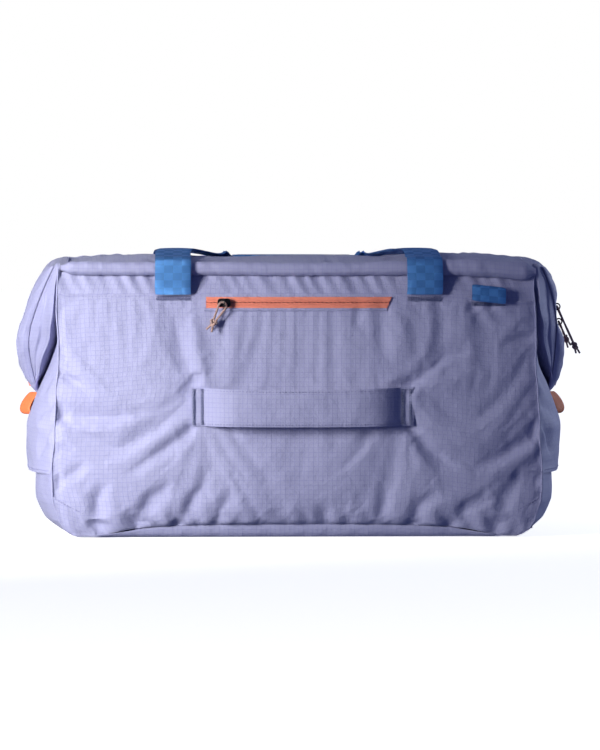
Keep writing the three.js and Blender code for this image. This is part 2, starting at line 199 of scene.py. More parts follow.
def ripstop(name, color=LAVENDER, line=LAVENDER_LINE):
    """Fine plain cloth with a 5 mm grid of heavier threads."""
    n = Nodes(name)
    across, along = n.cloth_axes()
    grid = n.math("MAXIMUM", n.lines(across, 0.005, 0.00055), n.lines(along, 0.005, 0.0005))
    threads = n.math("MULTIPLY", n.wave(across, 0.0008), n.wave(along, 0.0008))
    cloud = n.noise(9, 4)
    crumple = n.noise(45, 5)
    tint = n.mix(n.math("MULTIPLY", grid, 0.42), color, line)
    dye = n.mix(n.ramp(cloud, 0.35, 0.7), (0.93, 0.93, 0.95), (1.0, 1.0, 1.0))
    shade = n.add("ShaderNodeMix", data_type="RGBA", blend_type="MULTIPLY")
    shade.inputs[0].default_value = 1
    n.link(tint, shade.inputs[6])
    n.link(dye, shade.inputs[7])
    rough = n.math("MULTIPLY_ADD", n.noise(160, 2), 0.12, 0.5)
    n.bump((crumple, 0.0026), (grid, 0.00012), (threads, 0.00006))
    return n.finish(shade.outputs[2], rough, sheen=0.12, specular=0.42)


def webbing(name, dark, light, squares=True, pitch=0.0095):
    """Satin jacquard webbing: a check whose squares catch the light in turn, over fine ribs."""
    n = Nodes(name)
    across, along = n.cloth_axes()
    rib = n.wave(along, 0.0011)
    edge = n.wave(across, 0.0009)
    if squares:
        a = n.math("FLOOR", n.math("DIVIDE", across, pitch))
        b = n.math("FLOOR", n.math("DIVIDE", along, pitch * 0.82))
        check = n.math("PINGPONG", n.math("ADD", a, b), 1)
        color = n.mix(check, dark, light)
        rough = n.math("MULTIPLY_ADD", check, -0.1, 0.4)
    else:
        # Painted shade: without squares, the grooves between the ribs are darker than their crests.
        color = n.mix(n.ramp(rib, -0.6, 0.8), dark, light)
        rough = 0.5
    n.bump((n.noise(120, 3), 0.0004), (rib, 0.00012), (edge, 0.00005))
    return n.finish(color, rough, metallic=0.75 if squares else 0.0, sheen=0.03, specular=0.6)


def thread(name, color):
    n = Nodes(name)
    across, along = n.cloth_axes()
    twist = n.wave(n.math("ADD", across, along), 0.0009)
    n.bump((n.noise(900, 2), 0.0002), (twist, 0.00015))
    return n.finish(n.mix(n.noise(300, 2), tuple(0.75 * c for c in color), color), 0.7, sheen=0.2)


def zip_cloth(name, color):
    n = Nodes(name)
    across, along = n.cloth_axes()
    rib = n.wave(across, 0.0012)
    n.bump((n.noise(200, 3), 0.0004), (rib, 0.00012), (n.wave(along, 0.0008), 0.00005))
    # Painted shade: the grooves between the ribs are darker than their crests.
    return n.finish(n.mix(n.ramp(rib, -0.8, 0.8), tuple(0.85 * c for c in color), color), 0.62, sheen=0.2)


def coil(name, color):
    """The zip's interlocked coil, drawn as ridges across its run, with painted shade darkening the grooves between
    them.
    """
    n = Nodes(name)
    across, along = n.cloth_axes()
    slant = n.math("ADD", along, n.math("MULTIPLY", across, 0.35))
    ridge = n.wave(slant, 0.0016)
    n.bump((ridge, 0.0005))
    return n.finish(n.mix(n.ramp(ridge, -0.9, 0.4), tuple(0.45 * c for c in color), color), 0.42)


def enamel(name, color, roughness, metallic):
    n = Nodes(name)
    wear = n.noise(700, 4)
    n.bump((n.noise(260, 3), 0.00015))
    return n.finish(
        n.mix(n.ramp(wear, 0.62, 0.8), color, tuple(3.5 * c + 0.02 for c in color)),
        n.math("MULTIPLY_ADD", wear, 0.2, roughness),
        metallic=metallic,
    )


def cord_cloth(name, dark, light):
    n = Nodes(name)
    across, along = n.cloth_axes()
    one = n.wave(n.math("ADD", along, across), 0.0019)
    other = n.wave(n.math("SUBTRACT", along, across), 0.0019)
    braid = n.math("MULTIPLY", one, other)
    n.bump((braid, 0.0003))
    # Painted shade: the braid's grooves are darker than its strands.
    return n.finish(n.mix(n.ramp(braid, -0.5, 0.6), dark, light), 0.75, sheen=0.3)


CLOTH = ripstop("ripstop")
CLOTH_INSIDE = ripstop("coated_inside", (0.22, 0.21, 0.42), (0.17, 0.16, 0.34))
LINING = zip_cloth("lining_cloth", (0.2, 0.19, 0.38))
BLUE = webbing("blue_webbing", (0.09, 0.28, 0.64), (0.13, 0.38, 0.8))
TACK = thread("bartack_thread", (0.10, 0.13, 0.30))
SEAM_THREAD = thread("seam_thread", (0.3, 0.3, 0.58))
CORAL = zip_cloth("zip_tape_coral", (0.95, 0.275, 0.175))
CORAL_COIL = coil("zip_coil_coral", (0.78, 0.22, 0.15))
TAB = webbing("tab_webbing", (0.74, 0.16, 0.045), (0.84, 0.23, 0.085), squares=False)
BLACK = enamel("black_enamel", (0.012, 0.012, 0.014), 0.28, 0.55)
BOARD = enamel("board_plastic", (0.03, 0.03, 0.035), 0.55, 0.0)
PEACH = cord_cloth("cord_peach", (0.42, 0.24, 0.2), (0.72, 0.5, 0.43))
MAROON = cord_cloth("cord_maroon", (0.2, 0.1, 0.1), (0.45, 0.3, 0.28))

# ---- shape helpers, in millimetres


def step(low, high, value):
    share = clip((np.asarray(value, float) - low) / (high - low), 0, 1)
    return share * share * (3 - 2 * share)


def bell(value, middle, width):
    return exp(-(((value - middle) / width) ** 2))


def ripple(a, b, cell, seed):
    """Smooth noise from -1 to 1 over two coordinates."""
    table = np.random.RandomState(seed).uniform(-1, 1, (64, 64))
    p, q = np.asarray(a, float) / cell, np.asarray(b, float) / cell
    i, j = np.floor(p).astype(int), np.floor(q).astype(int)
    f, g = p - i, q - j
    f, g = f * f * (3 - 2 * f), g * g * (3 - 2 * g)

    def at(di, dj):
        return table[(i + di) % 64, (j + dj) % 64]

    return (at(0, 0) * (1 - f) + at(1, 0) * f) * (1 - g) + (at(0, 1) * (1 - f) + at(1, 1) * f) * g


def fold(a, b, line, height, near, far, ends=(0.0, 1.0)):
    """A fold along a line of points: a ridge above 0, a valley below. near is its reach on the line's left and far on
    its right, and ends are its strength at the first and the last point, or at the first alone."""
    ends = ends if isinstance(ends, tuple) else (ends, 0.0)
    best = np.full(np.shape(a), 1e9)
    side = np.zeros(np.shape(a))
    place = np.zeros(np.shape(a))
    lengths = [math.dist(p, q) for p, q in zip(line, line[1:])]
    run = 0.0
    for (p, q), length in zip(zip(line, line[1:]), lengths):
        d = ((q[0] - p[0]) / length, (q[1] - p[1]) / length)
        t = clip((a - p[0]) * d[0] + (b - p[1]) * d[1], 0, length)
        dx, dy = a - p[0] - d[0] * t, b - p[1] - d[1] * t
        distance = np.hypot(dx, dy)
        closer = distance < best
        best = where(closer, distance, best)
        side = where(closer, d[0] * dy - d[1] * dx, side)
        place = where(closer, (run + t) / sum(lengths), place)
        run += length
    reach = where(side > 0, near, far)
    strength = sin(pi * clip(place, 0.02, 0.98)) ** 0.6
    strength = strength * (ends[0] * (1 - place) + ends[1] * place + 1) / 2
    start = ends[0] * (1 - step(0.0, 0.35, place))
    stop = ends[1] * step(0.65, 1.0, place)
    strength = maximum(strength, maximum(start, stop))
    return height * strength * exp(-((best / reach) ** 2))


def unit(vectors):
    return vectors / np.linalg.norm(vectors, axis=1, keepdims=True)


def run_along(points):
    """Each point's distance along a line of points."""
    return np.concatenate([[0], np.cumsum(np.linalg.norm(np.diff(points, axis=0), axis=1))])


def lengths_along(points, axis):
    """Each grid point's distance along one direction, from the middle."""
    moved = np.linalg.norm(np.diff(points, axis=axis), axis=-1)
    total = np.cumsum(moved, axis=axis)
    shape = list(points.shape[:2])
    shape[axis] = 1
    total = np.concatenate([np.zeros(shape), total], axis=axis)
    middle = total.shape[axis] // 2
    return total - np.take(total, [middle], axis=axis)


def mesh_object(name, points, faces, uvs, materials, face_materials, smooth=40):
    mesh = bpy.data.meshes.new(name)
    mesh.from_pydata((np.asarray(points) * MM).tolist(), [], faces)
    layer = mesh.uv_layers.new(name="cloth")
    loops = np.concatenate([np.asarray(f) for f in faces])
    layer.data.foreach_set("uv", (np.asarray(uvs)[loops] * MM).astype(np.float32).ravel())
    for material in materials:
        mesh.materials.append(material)
    mesh.polygons.foreach_set("material_index", np.asarray(face_materials, np.int32))
    mesh.validate()
    mesh.shade_smooth()
    mesh.set_sharp_from_angle(angle=math.radians(smooth))
    obj = bpy.data.objects.new(name, mesh)
    scene.collection.objects.link(obj)
    return obj


def skin(name, point, columns, rows, materials=None, thickness=1.4, flip=False, paint=None):
    """A cloth sheet with a real thickness. point(u, v) gives x, y and z for grids u and v from 0 to 1, in mm.
    paint(x, y, z) gives each face's material number, and flip turns the sheet's outside round."""
    u, v = np.meshgrid(linspace(0, 1, columns + 1), linspace(0, 1, rows + 1))
    outer = np.stack(np.broadcast_arrays(*point(u, v)), -1).astype(float)
    normal = np.cross(np.gradient(outer, axis=1), np.gradient(outer, axis=0))
    normal /= np.linalg.norm(normal, axis=-1, keepdims=True) + 1e-12
    if flip:
        normal = -normal
    inner = outer - normal * thickness
    uv = np.stack([lengths_along(outer, 1), lengths_along(outer, 0)], -1)
    size = (columns + 1) * (rows + 1)
    points = np.concatenate([outer.reshape(-1, 3), inner.reshape(-1, 3)])
    uvs = np.concatenate([uv.reshape(-1, 2)] * 2)
    at = np.arange(size).reshape(rows + 1, columns + 1)
    quads = np.stack([at[:-1, :-1], at[:-1, 1:], at[1:, 1:], at[1:, :-1]], -1).reshape(-1, 4)
    rim_loop = np.concatenate([at[0, :], at[1:, -1], at[-1, -2::-1], at[-2:0:-1, 0]])
    after = np.roll(rim_loop, -1)
    rim = np.stack([rim_loop, rim_loop + size, after + size, after], -1)
    outside = quads if not flip else quads[:, ::-1]
    inside = (quads + size)[:, ::-1] if not flip else quads + size
    rim = rim if not flip else rim[:, ::-1]
    faces = np.concatenate([outside, inside, rim]).tolist()
    materials = materials or [CLOTH, CLOTH_INSIDE]
    middle = outer.reshape(-1, 3)[quads].mean(axis=1)
    shown = np.zeros(len(quads), int) if paint is None else paint(*middle.T)
    last = len(materials) - 1
    face_materials = np.concatenate([shown, np.full(len(quads), last), np.zeros(len(rim), int)])
    return mesh_object(name, points, faces, uvs, materials, face_materials)


def doubled(values):
    """Puts a value between each two neighbours of a grid, on the curve through them."""
    for axis in (0, 1):
        a = np.moveaxis(values, axis, 0)
        ends = np.concatenate([2 * a[:1] - a[1:2], a, 2 * a[-1:] - a[-2:-1]])
        out = np.empty((2 * len(a) - 1,) + a.shape[1:])
        out[::2], out[1::2] = a, (9 * (a[:-1] + a[1:]) - ends[:-3] - ends[3:]) / 16
        values = np.moveaxis(out, 0, axis)
    return values


def slackened(whole, held, growth, pressure, frames, cap):
    """Lets a pinned grid buckle as cloth cut a little too large and blown outwards. No point moves over cap mm."""
    points, pinned = whole[::2, ::2], held[::2, ::2]
    rows, columns = points.shape[:2]
    at = np.arange(rows * columns).reshape(rows, columns)
    quads = np.stack([at[:-1, :-1], at[:-1, 1:], at[1:, 1:], at[1:, :-1]], -1).reshape(-1, 4)
    mesh = bpy.data.meshes.new("slack")
    flat = points.reshape(-1, 3)
    mesh.from_pydata((flat * MM).tolist(), [], quads.tolist())
    obj = bpy.data.objects.new("slack", mesh)
    scene.collection.objects.link(obj)
    group = obj.vertex_groups.new(name="pins")
    group.add(at[pinned].tolist(), 1.0, "REPLACE")
    cloth = obj.modifiers.new("cloth", "CLOTH")
    settings = cloth.settings
    settings.quality = 6
    settings.mass = 0.2
    settings.tension_stiffness = settings.compression_stiffness = 25
    settings.shear_stiffness = 8
    settings.bending_stiffness = 0.12
    settings.air_damping = 2
    settings.vertex_group_mass = "pins"
    settings.pin_stiffness = 1
    settings.shrink_min = -growth
    settings.use_pressure = True
    settings.uniform_pressure_force = pressure
    settings.effector_weights.gravity = 0.15
    cloth.collision_settings.use_collision = False
    cloth.point_cache.frame_start, cloth.point_cache.frame_end = 1, frames
    for frame in range(1, frames + 1):
        scene.frame_set(frame)
    made = obj.evaluated_get(bpy.context.evaluated_depsgraph_get()).to_mesh()
    moved = np.empty(len(made.vertices) * 3)
    made.vertices.foreach_get("co", moved)
    moved = moved.reshape(-1, 3) / MM - flat
    scene.frame_set(1)
    bpy.data.objects.remove(obj)
    bpy.data.meshes.remove(mesh)
    far = np.linalg.norm(moved, axis=1, keepdims=True)
    moved = 0.7 * moved * minimum(1, cap / (far + 1e-9))
    return whole + doubled(moved.reshape(points.shape))


def loft(name, grid, uv, material, smooth, flip=False, closed=False):
    """A body through a grid of rings, with capped ends unless it is closed on itself."""
    at = np.arange(grid.shape[0] * grid.shape[1]).reshape(grid.shape[:2])
    this, after = (at, np.roll(at, -1, axis=0)) if closed else (at[:-1], at[1:])
    right, beyond = np.roll(this, -1, axis=1), np.roll(after, -1, axis=1)
    faces = np.stack([this, right, beyond, after], -1).reshape(-1, 4).tolist()
    if not closed:
        faces += [at[0, ::-1].tolist(), at[-1].tolist()]
    if flip:
        faces = [f[::-1] for f in faces]
    return mesh_object(name, grid.reshape(-1, 3), faces, uv.reshape(-1, 2), [material], [0] * len(faces), smooth)


def tube(name, ring, count, rows, material):
    """A closed body lofted through rings. ring(angles, v) gives x, y and z for grids of angle and of v from 0 to 1."""
    angles, v = np.meshgrid(linspace(0, 2 * pi, count, endpoint=False), linspace(0, 1, rows + 1))
    points = np.stack(np.broadcast_arrays(*ring(angles, v)), -1).astype(float)
    around = lengths_along(np.concatenate([points, points[:, :1]], axis=1), 1)[:, :-1]
    uv = np.stack([around, lengths_along(points, 0)], -1)
    a, d = points[:-1], points[1:]
    b, c = np.roll(a, -1, axis=1), np.roll(d, -1, axis=1)
    volume = (a * (np.cross(b, c) + np.cross(c, d))).sum()
    return loft(name, points, uv, material, 60, flip=volume < 0)


def spline(points, count):
    """Catmull-Rom points through the given ones, evenly many in each stretch."""
    p = np.asarray(points, float)
    p = np.vstack([2 * p[0] - p[1], p, 2 * p[-1] - p[-2]])
    out = []
    stretches = len(p) - 3
    for t in linspace(0, stretches, count):
        i = min(int(t), stretches - 1)
        f = t - i
        a, b, c, d = p[i : i + 4]
        out.append(0.5 * (2 * b + (c - a) * f + (2 * a - 5 * b + 4 * c - d) * f**2 + (3 * b - a - 3 * c + d) * f**3))
    return np.array(out)


def ribbon(name, middle, across, widths, thickness, material, columns=8, crown=0.0):
    """A strap along a line of points: across gives its width's direction at each, and crown lifts its middle."""
    middle, across = np.asarray(middle, float), np.asarray(across, float)
    across = np.broadcast_to(across, middle.shape) / np.linalg.norm(across, axis=-1, keepdims=True)
    normal = unit(np.cross(unit(np.gradient(middle, axis=0)), across))
    widths = np.broadcast_to(widths, len(middle))
    share = linspace(-0.5, 0.5, columns + 1)
    rounding = sqrt(clip(1 - (2 * share) ** 8, 0, 1))
    lines = []
    for face in (1, -1):
        for share_at, round_at in zip(share, rounding):
            lift = face * thickness / 2 * round_at + crown * (1 - 4 * share_at * share_at)
            lines.append(middle + across * (share_at * widths)[:, None] + normal * lift)
    rings = np.stack(lines[: columns + 1] + lines[-2 : columns + 1 : -1], axis=1)
    run = run_along(middle)
    crosswise = np.concatenate([share, share[-2:0:-1]])
    uv = np.stack([crosswise[None, :] * widths[:, None] + 19, np.broadcast_to(run[:, None], rings.shape[:2])], -1)
    facing = np.cross(rings[0, 1] - rings[0, 0], rings[1, 1] - rings[0, 0])
    return loft(name, rings, uv, material, 40, flip=np.dot(facing, normal[0]) < 0)


def stitches(name, points, normals, length=2.4, gap=1.1, radius=0.28, material=None, slant=0.0):
    """A row of thread stitches along a line of points, standing a little out of the cloth."""
    points, normals = np.asarray(points, float), np.asarray(normals, float)
    normals = np.broadcast_to(normals, points.shape)
    run = run_along(points)
    vertices, faces, uvs = [], [], []
    at = gap
    while at + length < run[-1]:
        ends = [np.array([interp(s, run, points[:, k]) for k in range(3)]) for s in (at, at + length)]
        out = np.array([interp(at, run, normals[:, k]) for k in range(3)])
        along = (ends[1] - ends[0]) / np.linalg.norm(ends[1] - ends[0])
        side = np.cross(out, along)
        along_slant = side * slant
        base = len(vertices)
        for share, r, lift in ((0, 0.35, -0.4), (0.2, 1, 0.5), (0.8, 1, 0.5), (1, 0.35, -0.4)):
            middle = ends[0] + (ends[1] - ends[0]) * share + along_slant * (share - 0.5) + out * lift * radius
            for k in range(6):
                angle = k * pi / 3
                vertices.append(middle + radius * r * (side * cos(angle) + out * sin(angle)))
                uvs.append((k * 0.3, at + length * share))
        for row in range(3):
            for k in range(6):
                a, b = base + row * 6 + k, base + row * 6 + (k + 1) % 6
                faces.append([a, b, b + 6, a + 6])
        faces += [[base + k for k in range(5, -1, -1)], [base + 18 + k for k in range(6)]]
        at += length + gap
    return mesh_object(name, vertices, faces, uvs, [material or SEAM_THREAD], [0] * len(faces), 80)


def keep(obj, body, slot, *nodes):
    """Sends a piece with a body and hides the CAD nodes that it stands for. slot is not used."""
    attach(obj, body)
    if nodes:
        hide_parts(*nodes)
    return obj


def cross(obj, a, b, start, end, slot, *nodes):
    """Bakes a piece's placement into its mesh and hides the CAD nodes that it stands for. a, b, start, end and slot are
    not used.
    """
    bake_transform(obj)
    if nodes:
        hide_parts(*nodes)
    return obj


BAG = "bag_body"
ROWS = (("back", -1), ("front", 1))
ENDS = (("left", -1), ("right", 1))
CORNERS = [(row, side, end, sx) for row, side in ROWS for end, sx in ENDS]


def sewn(obj, *nodes):
    """Keeps a piece of the shell's cloth on the bag."""
    return keep(obj, BAG, "ripstop", *nodes)


def rope(name, points, radius, material, closed=False, sides=10):
    """A round tube along a line of points."""
    points = np.asarray(points, float)
    tangents = np.roll(points, -1, axis=0) - np.roll(points, 1, axis=0) if closed else np.gradient(points, axis=0)
    tangents = unit(tangents)
    normal = np.cross(tangents[0], (0.3, 0.5, 0.81))
    angles = 2 * pi * np.arange(sides) / sides
    rings, uvs, run = [], [], 0.0
    for k, (point, tangent) in enumerate(zip(points, tangents)):
        normal = normal - tangent * np.dot(normal, tangent)
        normal /= np.linalg.norm(normal)
        other = np.cross(tangent, normal)
        run += math.dist(point, points[k - 1]) if k else 0
        rings.append(point + radius * (np.outer(cos(angles), normal) + np.outer(sin(angles), other)))
        uvs.append(np.stack([radius * angles, run + 0 * angles], -1))
    return loft(name, np.array(rings), np.array(uvs), material, 80, closed=closed)


def turned(points, roll, lean, quarter, ring):
    """Points of a hanging pull, turned about X, about Z by a quarter and about Y, and put at its slider's ring."""
    x, y, z = np.asarray(points, float).T
    y, z = y * cos(roll) - z * sin(roll), y * sin(roll) + z * cos(roll)
    if quarter:
        x, y = y, -x
    x, z = x * cos(lean) + z * sin(lean), -x * sin(lean) + z * cos(lean)
    return np.stack([x, y, z], 1) + np.asarray(ring)


# ---- cords
# Each zip pull is one cord doubled through its slider's ring, with a knot below. Each half is built out from the ring.

PULLS = [
    # name, drop, roll, lean, quarter turn, ring, cloth, knot size
    ("upper", 50, -0.4, -0.39, False, (291.238, 0, 245.015), MAROON, 1.45),
    ("lower", 21, 0.2, -0.42, False, (293.361, 0, 228.415), MAROON, 1.35),
    ("back", 24, 0.0, 0.5, True, (-80, -157.94, 251), PEACH, 1.25),
]
for name, drop, roll, lean, quarter, ring, cloth, size in PULLS:
    slot = "cord_peach" if quarter else "cord_maroon"
    low = -(drop - 4.4)
    knot = []
    for t in linspace(0, 2 * pi, 72, endpoint=False):
        knot.append((size * 1.4 * -sin(3 * t), size * (sin(t) + 2 * sin(2 * t)) * 0.92,
                     -drop + size * (cos(t) - 2 * cos(2 * t)) * 0.92))
    knot = rope(f"{name}_pull_knot_cord", turned(knot, roll, lean, quarter, ring), 1.25, cloth, closed=True)
    keep(knot, f"{name}_pull", slot, f"{name}_pull_knot")
    for half, side in (("a", 1), ("b", -1)):
        line = [(0, 0), (1.4, 0), (3.3, -1.4), (4, -5)]
        line += [(4 - 2.5 * t, -5 + (low + 5) * t) for t in (0.4, 0.7, 1)]
        line += [(1.0, -drop), (1.3, -drop - 4), (3.1, -drop - 9.7)]
        bow = [0, 0, 0, 0, 0.3, 0.5, 0.3, 0, 1.2, 2.2]
        route = spline([(side * b, side * y, z) for (y, z), b in zip(line, bow)], 90)
        route = turned(route, roll, lean, quarter, ring)
        strand = rope(f"{name}_pull_strand_{half}", route, 1.1, cloth)
        keep(strand, f"{name}_pull", slot, *([f"{name}_pull_cord"] if side > 0 else []))

# ---- the bag's outline

HALF_D = 140
SEAM_TOP = 284
PANEL_LOW = 1.5
STRAP_Z = 140.5
SEAM_HEIGHTS = [0, 3, 8, 18, 38, 72, 115, 150, 212, 246, 264, 290]
SEAM_LEFT = [232, 240, 248.5, 256, 262, 263, 261, 258.5, 256.5, 258.5, 258.5, 257]
SEAM_RIGHT = [230, 238, 246.5, 254, 259.5, 260.5, 258.5, 256, 254.5, 252, 250, 251]


def seam_x(side, z, face):
    """Half the bag's length at its vertical seams, which wave a little and turn in at the bottom."""
    z = np.asarray(z, float)
    left, right = interp(z, SEAM_HEIGHTS, SEAM_LEFT), interp(z, SEAM_HEIGHTS, SEAM_RIGHT)
    base = where(side * face > 0, left, right)
    return base + 1.3 * ripple(z, side * 40 + face * 17, 26, 5)


def low_edge(x):
    """Height of the front and back panels' lower seams: they ride up between the corners."""
    share = clip(abs(x) / 250, 0, 1)
    return PANEL_LOW + 12.5 * (1 - share**3) * step(0.04, 0.4, 1 - share)


def pocket_line(x):
    return 260 - step(-40, 150, x) - 7.5 * step(150, 235, x)


BACK_FOLDS = [
    # line, height, reach on its left, reach on its right, strength at its first point or at both
    ([(-258, 127), (-230, 129), (-198, 132), (-150, 138)], -5.0, 15, 6, 1.0),
    ([(-256, 117), (-225, 119), (-190, 121), (-150, 124)], 2.4, 10, 14, 0.8),
    ([(-136, 240), (-128, 205), (-112, 168)], -3.4, 9, 13, (0.2, 0.7)),
    ([(-115, 240), (-108, 203), (-103, 166)], 2.6, 10, 8, (0.1, 0.6)),
    ([(-117, 116), (-138, 100), (-162, 85), (-190, 66)], -3.4, 8, 9, 1.0),
    ([(-117, 124), (-140, 112), (-170, 96), (-200, 76)], 2.6, 9, 9, 0.8),
    ([(-153, 118), (-182, 93), (-206, 72)], -2.4, 12, 10, 0.0),
    ([(-216, 14), (-214, 43), (-203, 62)], -5.5, 8, 11, 0.9),
    ([(-172, 18), (-158, 43), (-132, 60)], -4.6, 9, 12, 0.9),
    ([(-128, 12), (-112, 44), (-90, 66)], -3.8, 8, 10, 0.9),
    ([(-88, 12), (-80, 38), (-66, 52)], -2.6, 7, 8, 0.9),
    ([(-256, 176), (-240, 168), (-226, 163)], -3.4, 4, 6, 1.0),
    ([(-256, 196), (-246, 189)], -2.4, 4, 5, 1.0),
    ([(90, 241), (87, 214), (92, 190)], -2.6, 9, 10, 0.6),
    ([(118, 240), (108, 214), (98, 186)], 2.6, 9, 9, 0.2),
    ([(64, 243), (60, 222)], -1.8, 7, 7, 0.8),
    ([(119, 163), (136, 178), (156, 194), (186, 204)], -3.0, 12, 6, 1.0),
    ([(121, 150), (150, 166), (186, 174), (226, 172)], 2.6, 10, 13, 0.7),
    ([(119, 117), (135, 97), (154, 84), (176, 74)], -3.8, 9, 8, 1.0),
    ([(119, 108), (131, 84), (146, 66)], 2.8, 8, 10, 0.7),
    ([(258, 110), (236, 96), (213, 86), (186, 80)], -5.0, 6, 15, 1.0),
    ([(258, 99), (232, 84), (204, 70)], 2.8, 12, 10, 0.9),
    ([(256, 214), (234, 212), (212, 208)], -2.4, 6, 7, 1.0),
    ([(188, 246), (194, 232), (210, 222)], -3.0, 7, 8, 1.0),
    ([(206, 246), (216, 234), (232, 228)], -2.0, 6, 7, 1.0),
    ([(150, 246), (153, 228), (149, 205)], -2.0, 8, 9, 0.9),
    ([(84, 12), (92, 40), (86, 62)], -2.6, 8, 8, 0.9),
    ([(122, 12), (128, 34), (150, 52)], -3.8, 9, 9, 0.9),
    ([(166, 14), (180, 34), (206, 50)], -3.4, 9, 11, 0.9),
    ([(214, 16), (222, 44), (240, 76)], -3.2, 9, 9, 0.9),
    ([(256, 58), (238, 62), (226, 70)], -2.2, 6, 7, 1.0),
    ([(-256, 62), (-240, 70), (-222, 84)], -2.4, 7, 7, 1.0),
    ([(-30, 14), (-26, 34)], -1.8, 8, 8, 1.0),
    ([(24, 14), (30, 36)], -2.0, 9, 8, 1.0),
    ([(-118, 158), (-148, 176), (-180, 186)], -1.8, 8, 10, 0.9),
]


def puckers(along, away, pitch, height, reach, seed):
    """Small gathers that stand square to a seam and die out away from it."""
    phase = 2 * pi * along / pitch + 2.6 * ripple(along, 0 * along, pitch * 2.3, seed)
    strength = 0.55 + 0.45 * ripple(along, 0 * along + 9, pitch * 1.7, seed + 1)
    return height * strength * sin(phase) * exp(-maximum(away, 0) / reach)


def foot(x):
    """How far the panels' lower edges turn under between the corners."""
    return 3.5 * (1 - step(175, 222, abs(x)))


def face_out(side, x, z):
    """How far out of the middle plane the front (1) or back (-1) panel stands."""
    half = seam_x(sign(x), z, side)
    s = clip(abs(x) / half, 0, 1)
    t = clip(abs(z - 141) / 138, 0, 1)
    out = HALF_D - 1 + 14.5 * (1 - s**3.6) * (1 - t**4)
    strength, a, folds = (1.6, x, BACK_FOLDS) if side < 0 else (1.4, -x * 0.97, BACK_FOLDS[::2])
    for line in folds:
        out = out + strength * fold(a, z, *line)
    away = half - abs(x)
    out = out + puckers(z + 40 * sign(x), away, 21, 1.6, 9, 21 + side)
    out = out + puckers(x + 0.35 * z, z - low_edge(x), 24, 3.4, 15, 31 + side)
    out = out + 1.3 * ripple(x, z, 58, 41 + side) + 0.5 * ripple(x, z, 23, 43 + side) + 0.16 * ripple(x, z, 9, 45)
    hold = step(-1, 9, away) * step(-1, 3, z - low_edge(x))
    return HALF_D - 1 + (out - HALF_D + 1) * hold - foot(x) * exp(-maximum(z - low_edge(x), 0) / 8)


# ---- front and back panels

for name, side in ROWS:

    def panel(u, v):
        top = pocket_line((u - 0.5) * 512) + 0.6
        z = PANEL_LOW + (top - PANEL_LOW) * v
        x = (2 * u - 1) * seam_x(sign(2 * u - 1), z, side)
        z = z + (low_edge(x) - PANEL_LOW) * (1 - v)
        x = (2 * u - 1) * seam_x(sign(2 * u - 1), z, side)
        lift = 0.5 + 0.9 * step(0.985, 1.0, v)
        return x, side * (face_out(side, x, z) + lift), z

    u, v = np.meshgrid(linspace(0, 1, 251), linspace(0, 1, 133))
    grid = np.stack(panel(u, v), -1)
    x, z = grid[..., 0] * -side, grid[..., 2]
    pinned = (u < 0.004) | (u > 0.996) | (v < 0.004) | (z > 242) & (abs(x) < 104) | (z > pocket_line(x) - 5)
    for strap_end in (-108, 114.5):
        pinned |= (abs(x - strap_end) < 8) & (abs(z - STRAP_Z) < 22)
    loose = slackened(grid, pinned, 0.008, -side * 1.2, 24, 6)
    sewn(skin(f"{name}_panel_cloth", lambda u, v: np.moveaxis(loose, -1, 0), 250, 132, flip=side > 0), f"{name}_panel")

    def yoke(u, v):
        x = (2 * u - 1) * seam_x(sign(2 * u - 1), 268 + 0 * u, side)
        z = pocket_line(x) - 3 + (SEAM_TOP - pocket_line(x) + 3) * v
        lean = x + 0.5 * (z - 256)
        gathers = puckers(lean, 284 - z, 17, 2.6, 17, 61 + side) + puckers(lean, 284 - z, 43, 2.2, 20, 63)
        y = HALF_D - 1.2 + 14.5 * (1 - (abs(x) / 258) ** 3.6) * (1 - (abs(z - 141) / 138) ** 4)
        hold = step(0, 6, z - pocket_line(x) + 3)
        return x, side * (y + (gathers + 0.6 * ripple(x, z, 34, 65 + side)) * hold), z

    sewn(skin(f"{name}_yoke_cloth", yoke, 250, 16, flip=side > 0))

    line = linspace(-250, 250, 260)
    z = pocket_line(line) - 2.0
    points = np.stack([line, side * (face_out(side, line, z) + 0.65), z], 1)
    sewn(stitches(f"{name}_pocket_stitches", points, (0, side, 0), radius=0.22))

# The base's cloth comes up over each lower corner.
for row, side, end, sx in CORNERS:

    def patch(u, v):
        edge = seam_x(sx, 20 + 0 * u, side)
        x = sx * (208 + (edge + 0.4 - 208) * u)
        top = 7 + 12 * step(0, 0.16, u) + 26 * u**1.3
        z = 1.0 + (top - 1.0) * v
        x = sx * (208 + (seam_x(sx, z, side) + 0.5 - 208) * u)
        curl = -0.9 + 2.1 * step(0.02, 0.2, u) - 2.0 * exp(-(z / 4.0))
        return x, side * (face_out(side, x, maximum(z, low_edge(x))) + curl), z

    inside_out = (side > 0) != (sx < 0)
    piece = skin(f"{row}_{end}_corner_cloth", patch, 40, 30, flip=inside_out, thickness=1.0)
    sewn(piece, f"{row}_{end}_corner_patch")
    u = linspace(0.03, 0.97, 60)
    x, y, z = patch(u, 0 * u + 1.0)
    row_points = np.stack([x, y + side * 0.2, z - 1.8], 1)
    sewn(stitches(f"{row}_{end}_corner_stitches", row_points, (0, side, 0)))

# ---- piping at the vertical seams

for row, side, end, sx in CORNERS:

    def piping(angle, v):
        z = 2.5 + 284 * v
        x = sx * (seam_x(sx, z, side) + 0.2)
        y = side * (HALF_D - 0.6)
        radius = 0.95 + 0.25 * ripple(z, 0 * z, 13, 71)
        lean = sx * 0.6 * ripple(z, 0 * z + 5, 19, 73)
        return x + lean + radius * cos(angle), y + radius * sin(angle), z

    sewn(tube(f"{row}_{end}_piping", piping, 10, 150, CLOTH))

# ---- ends

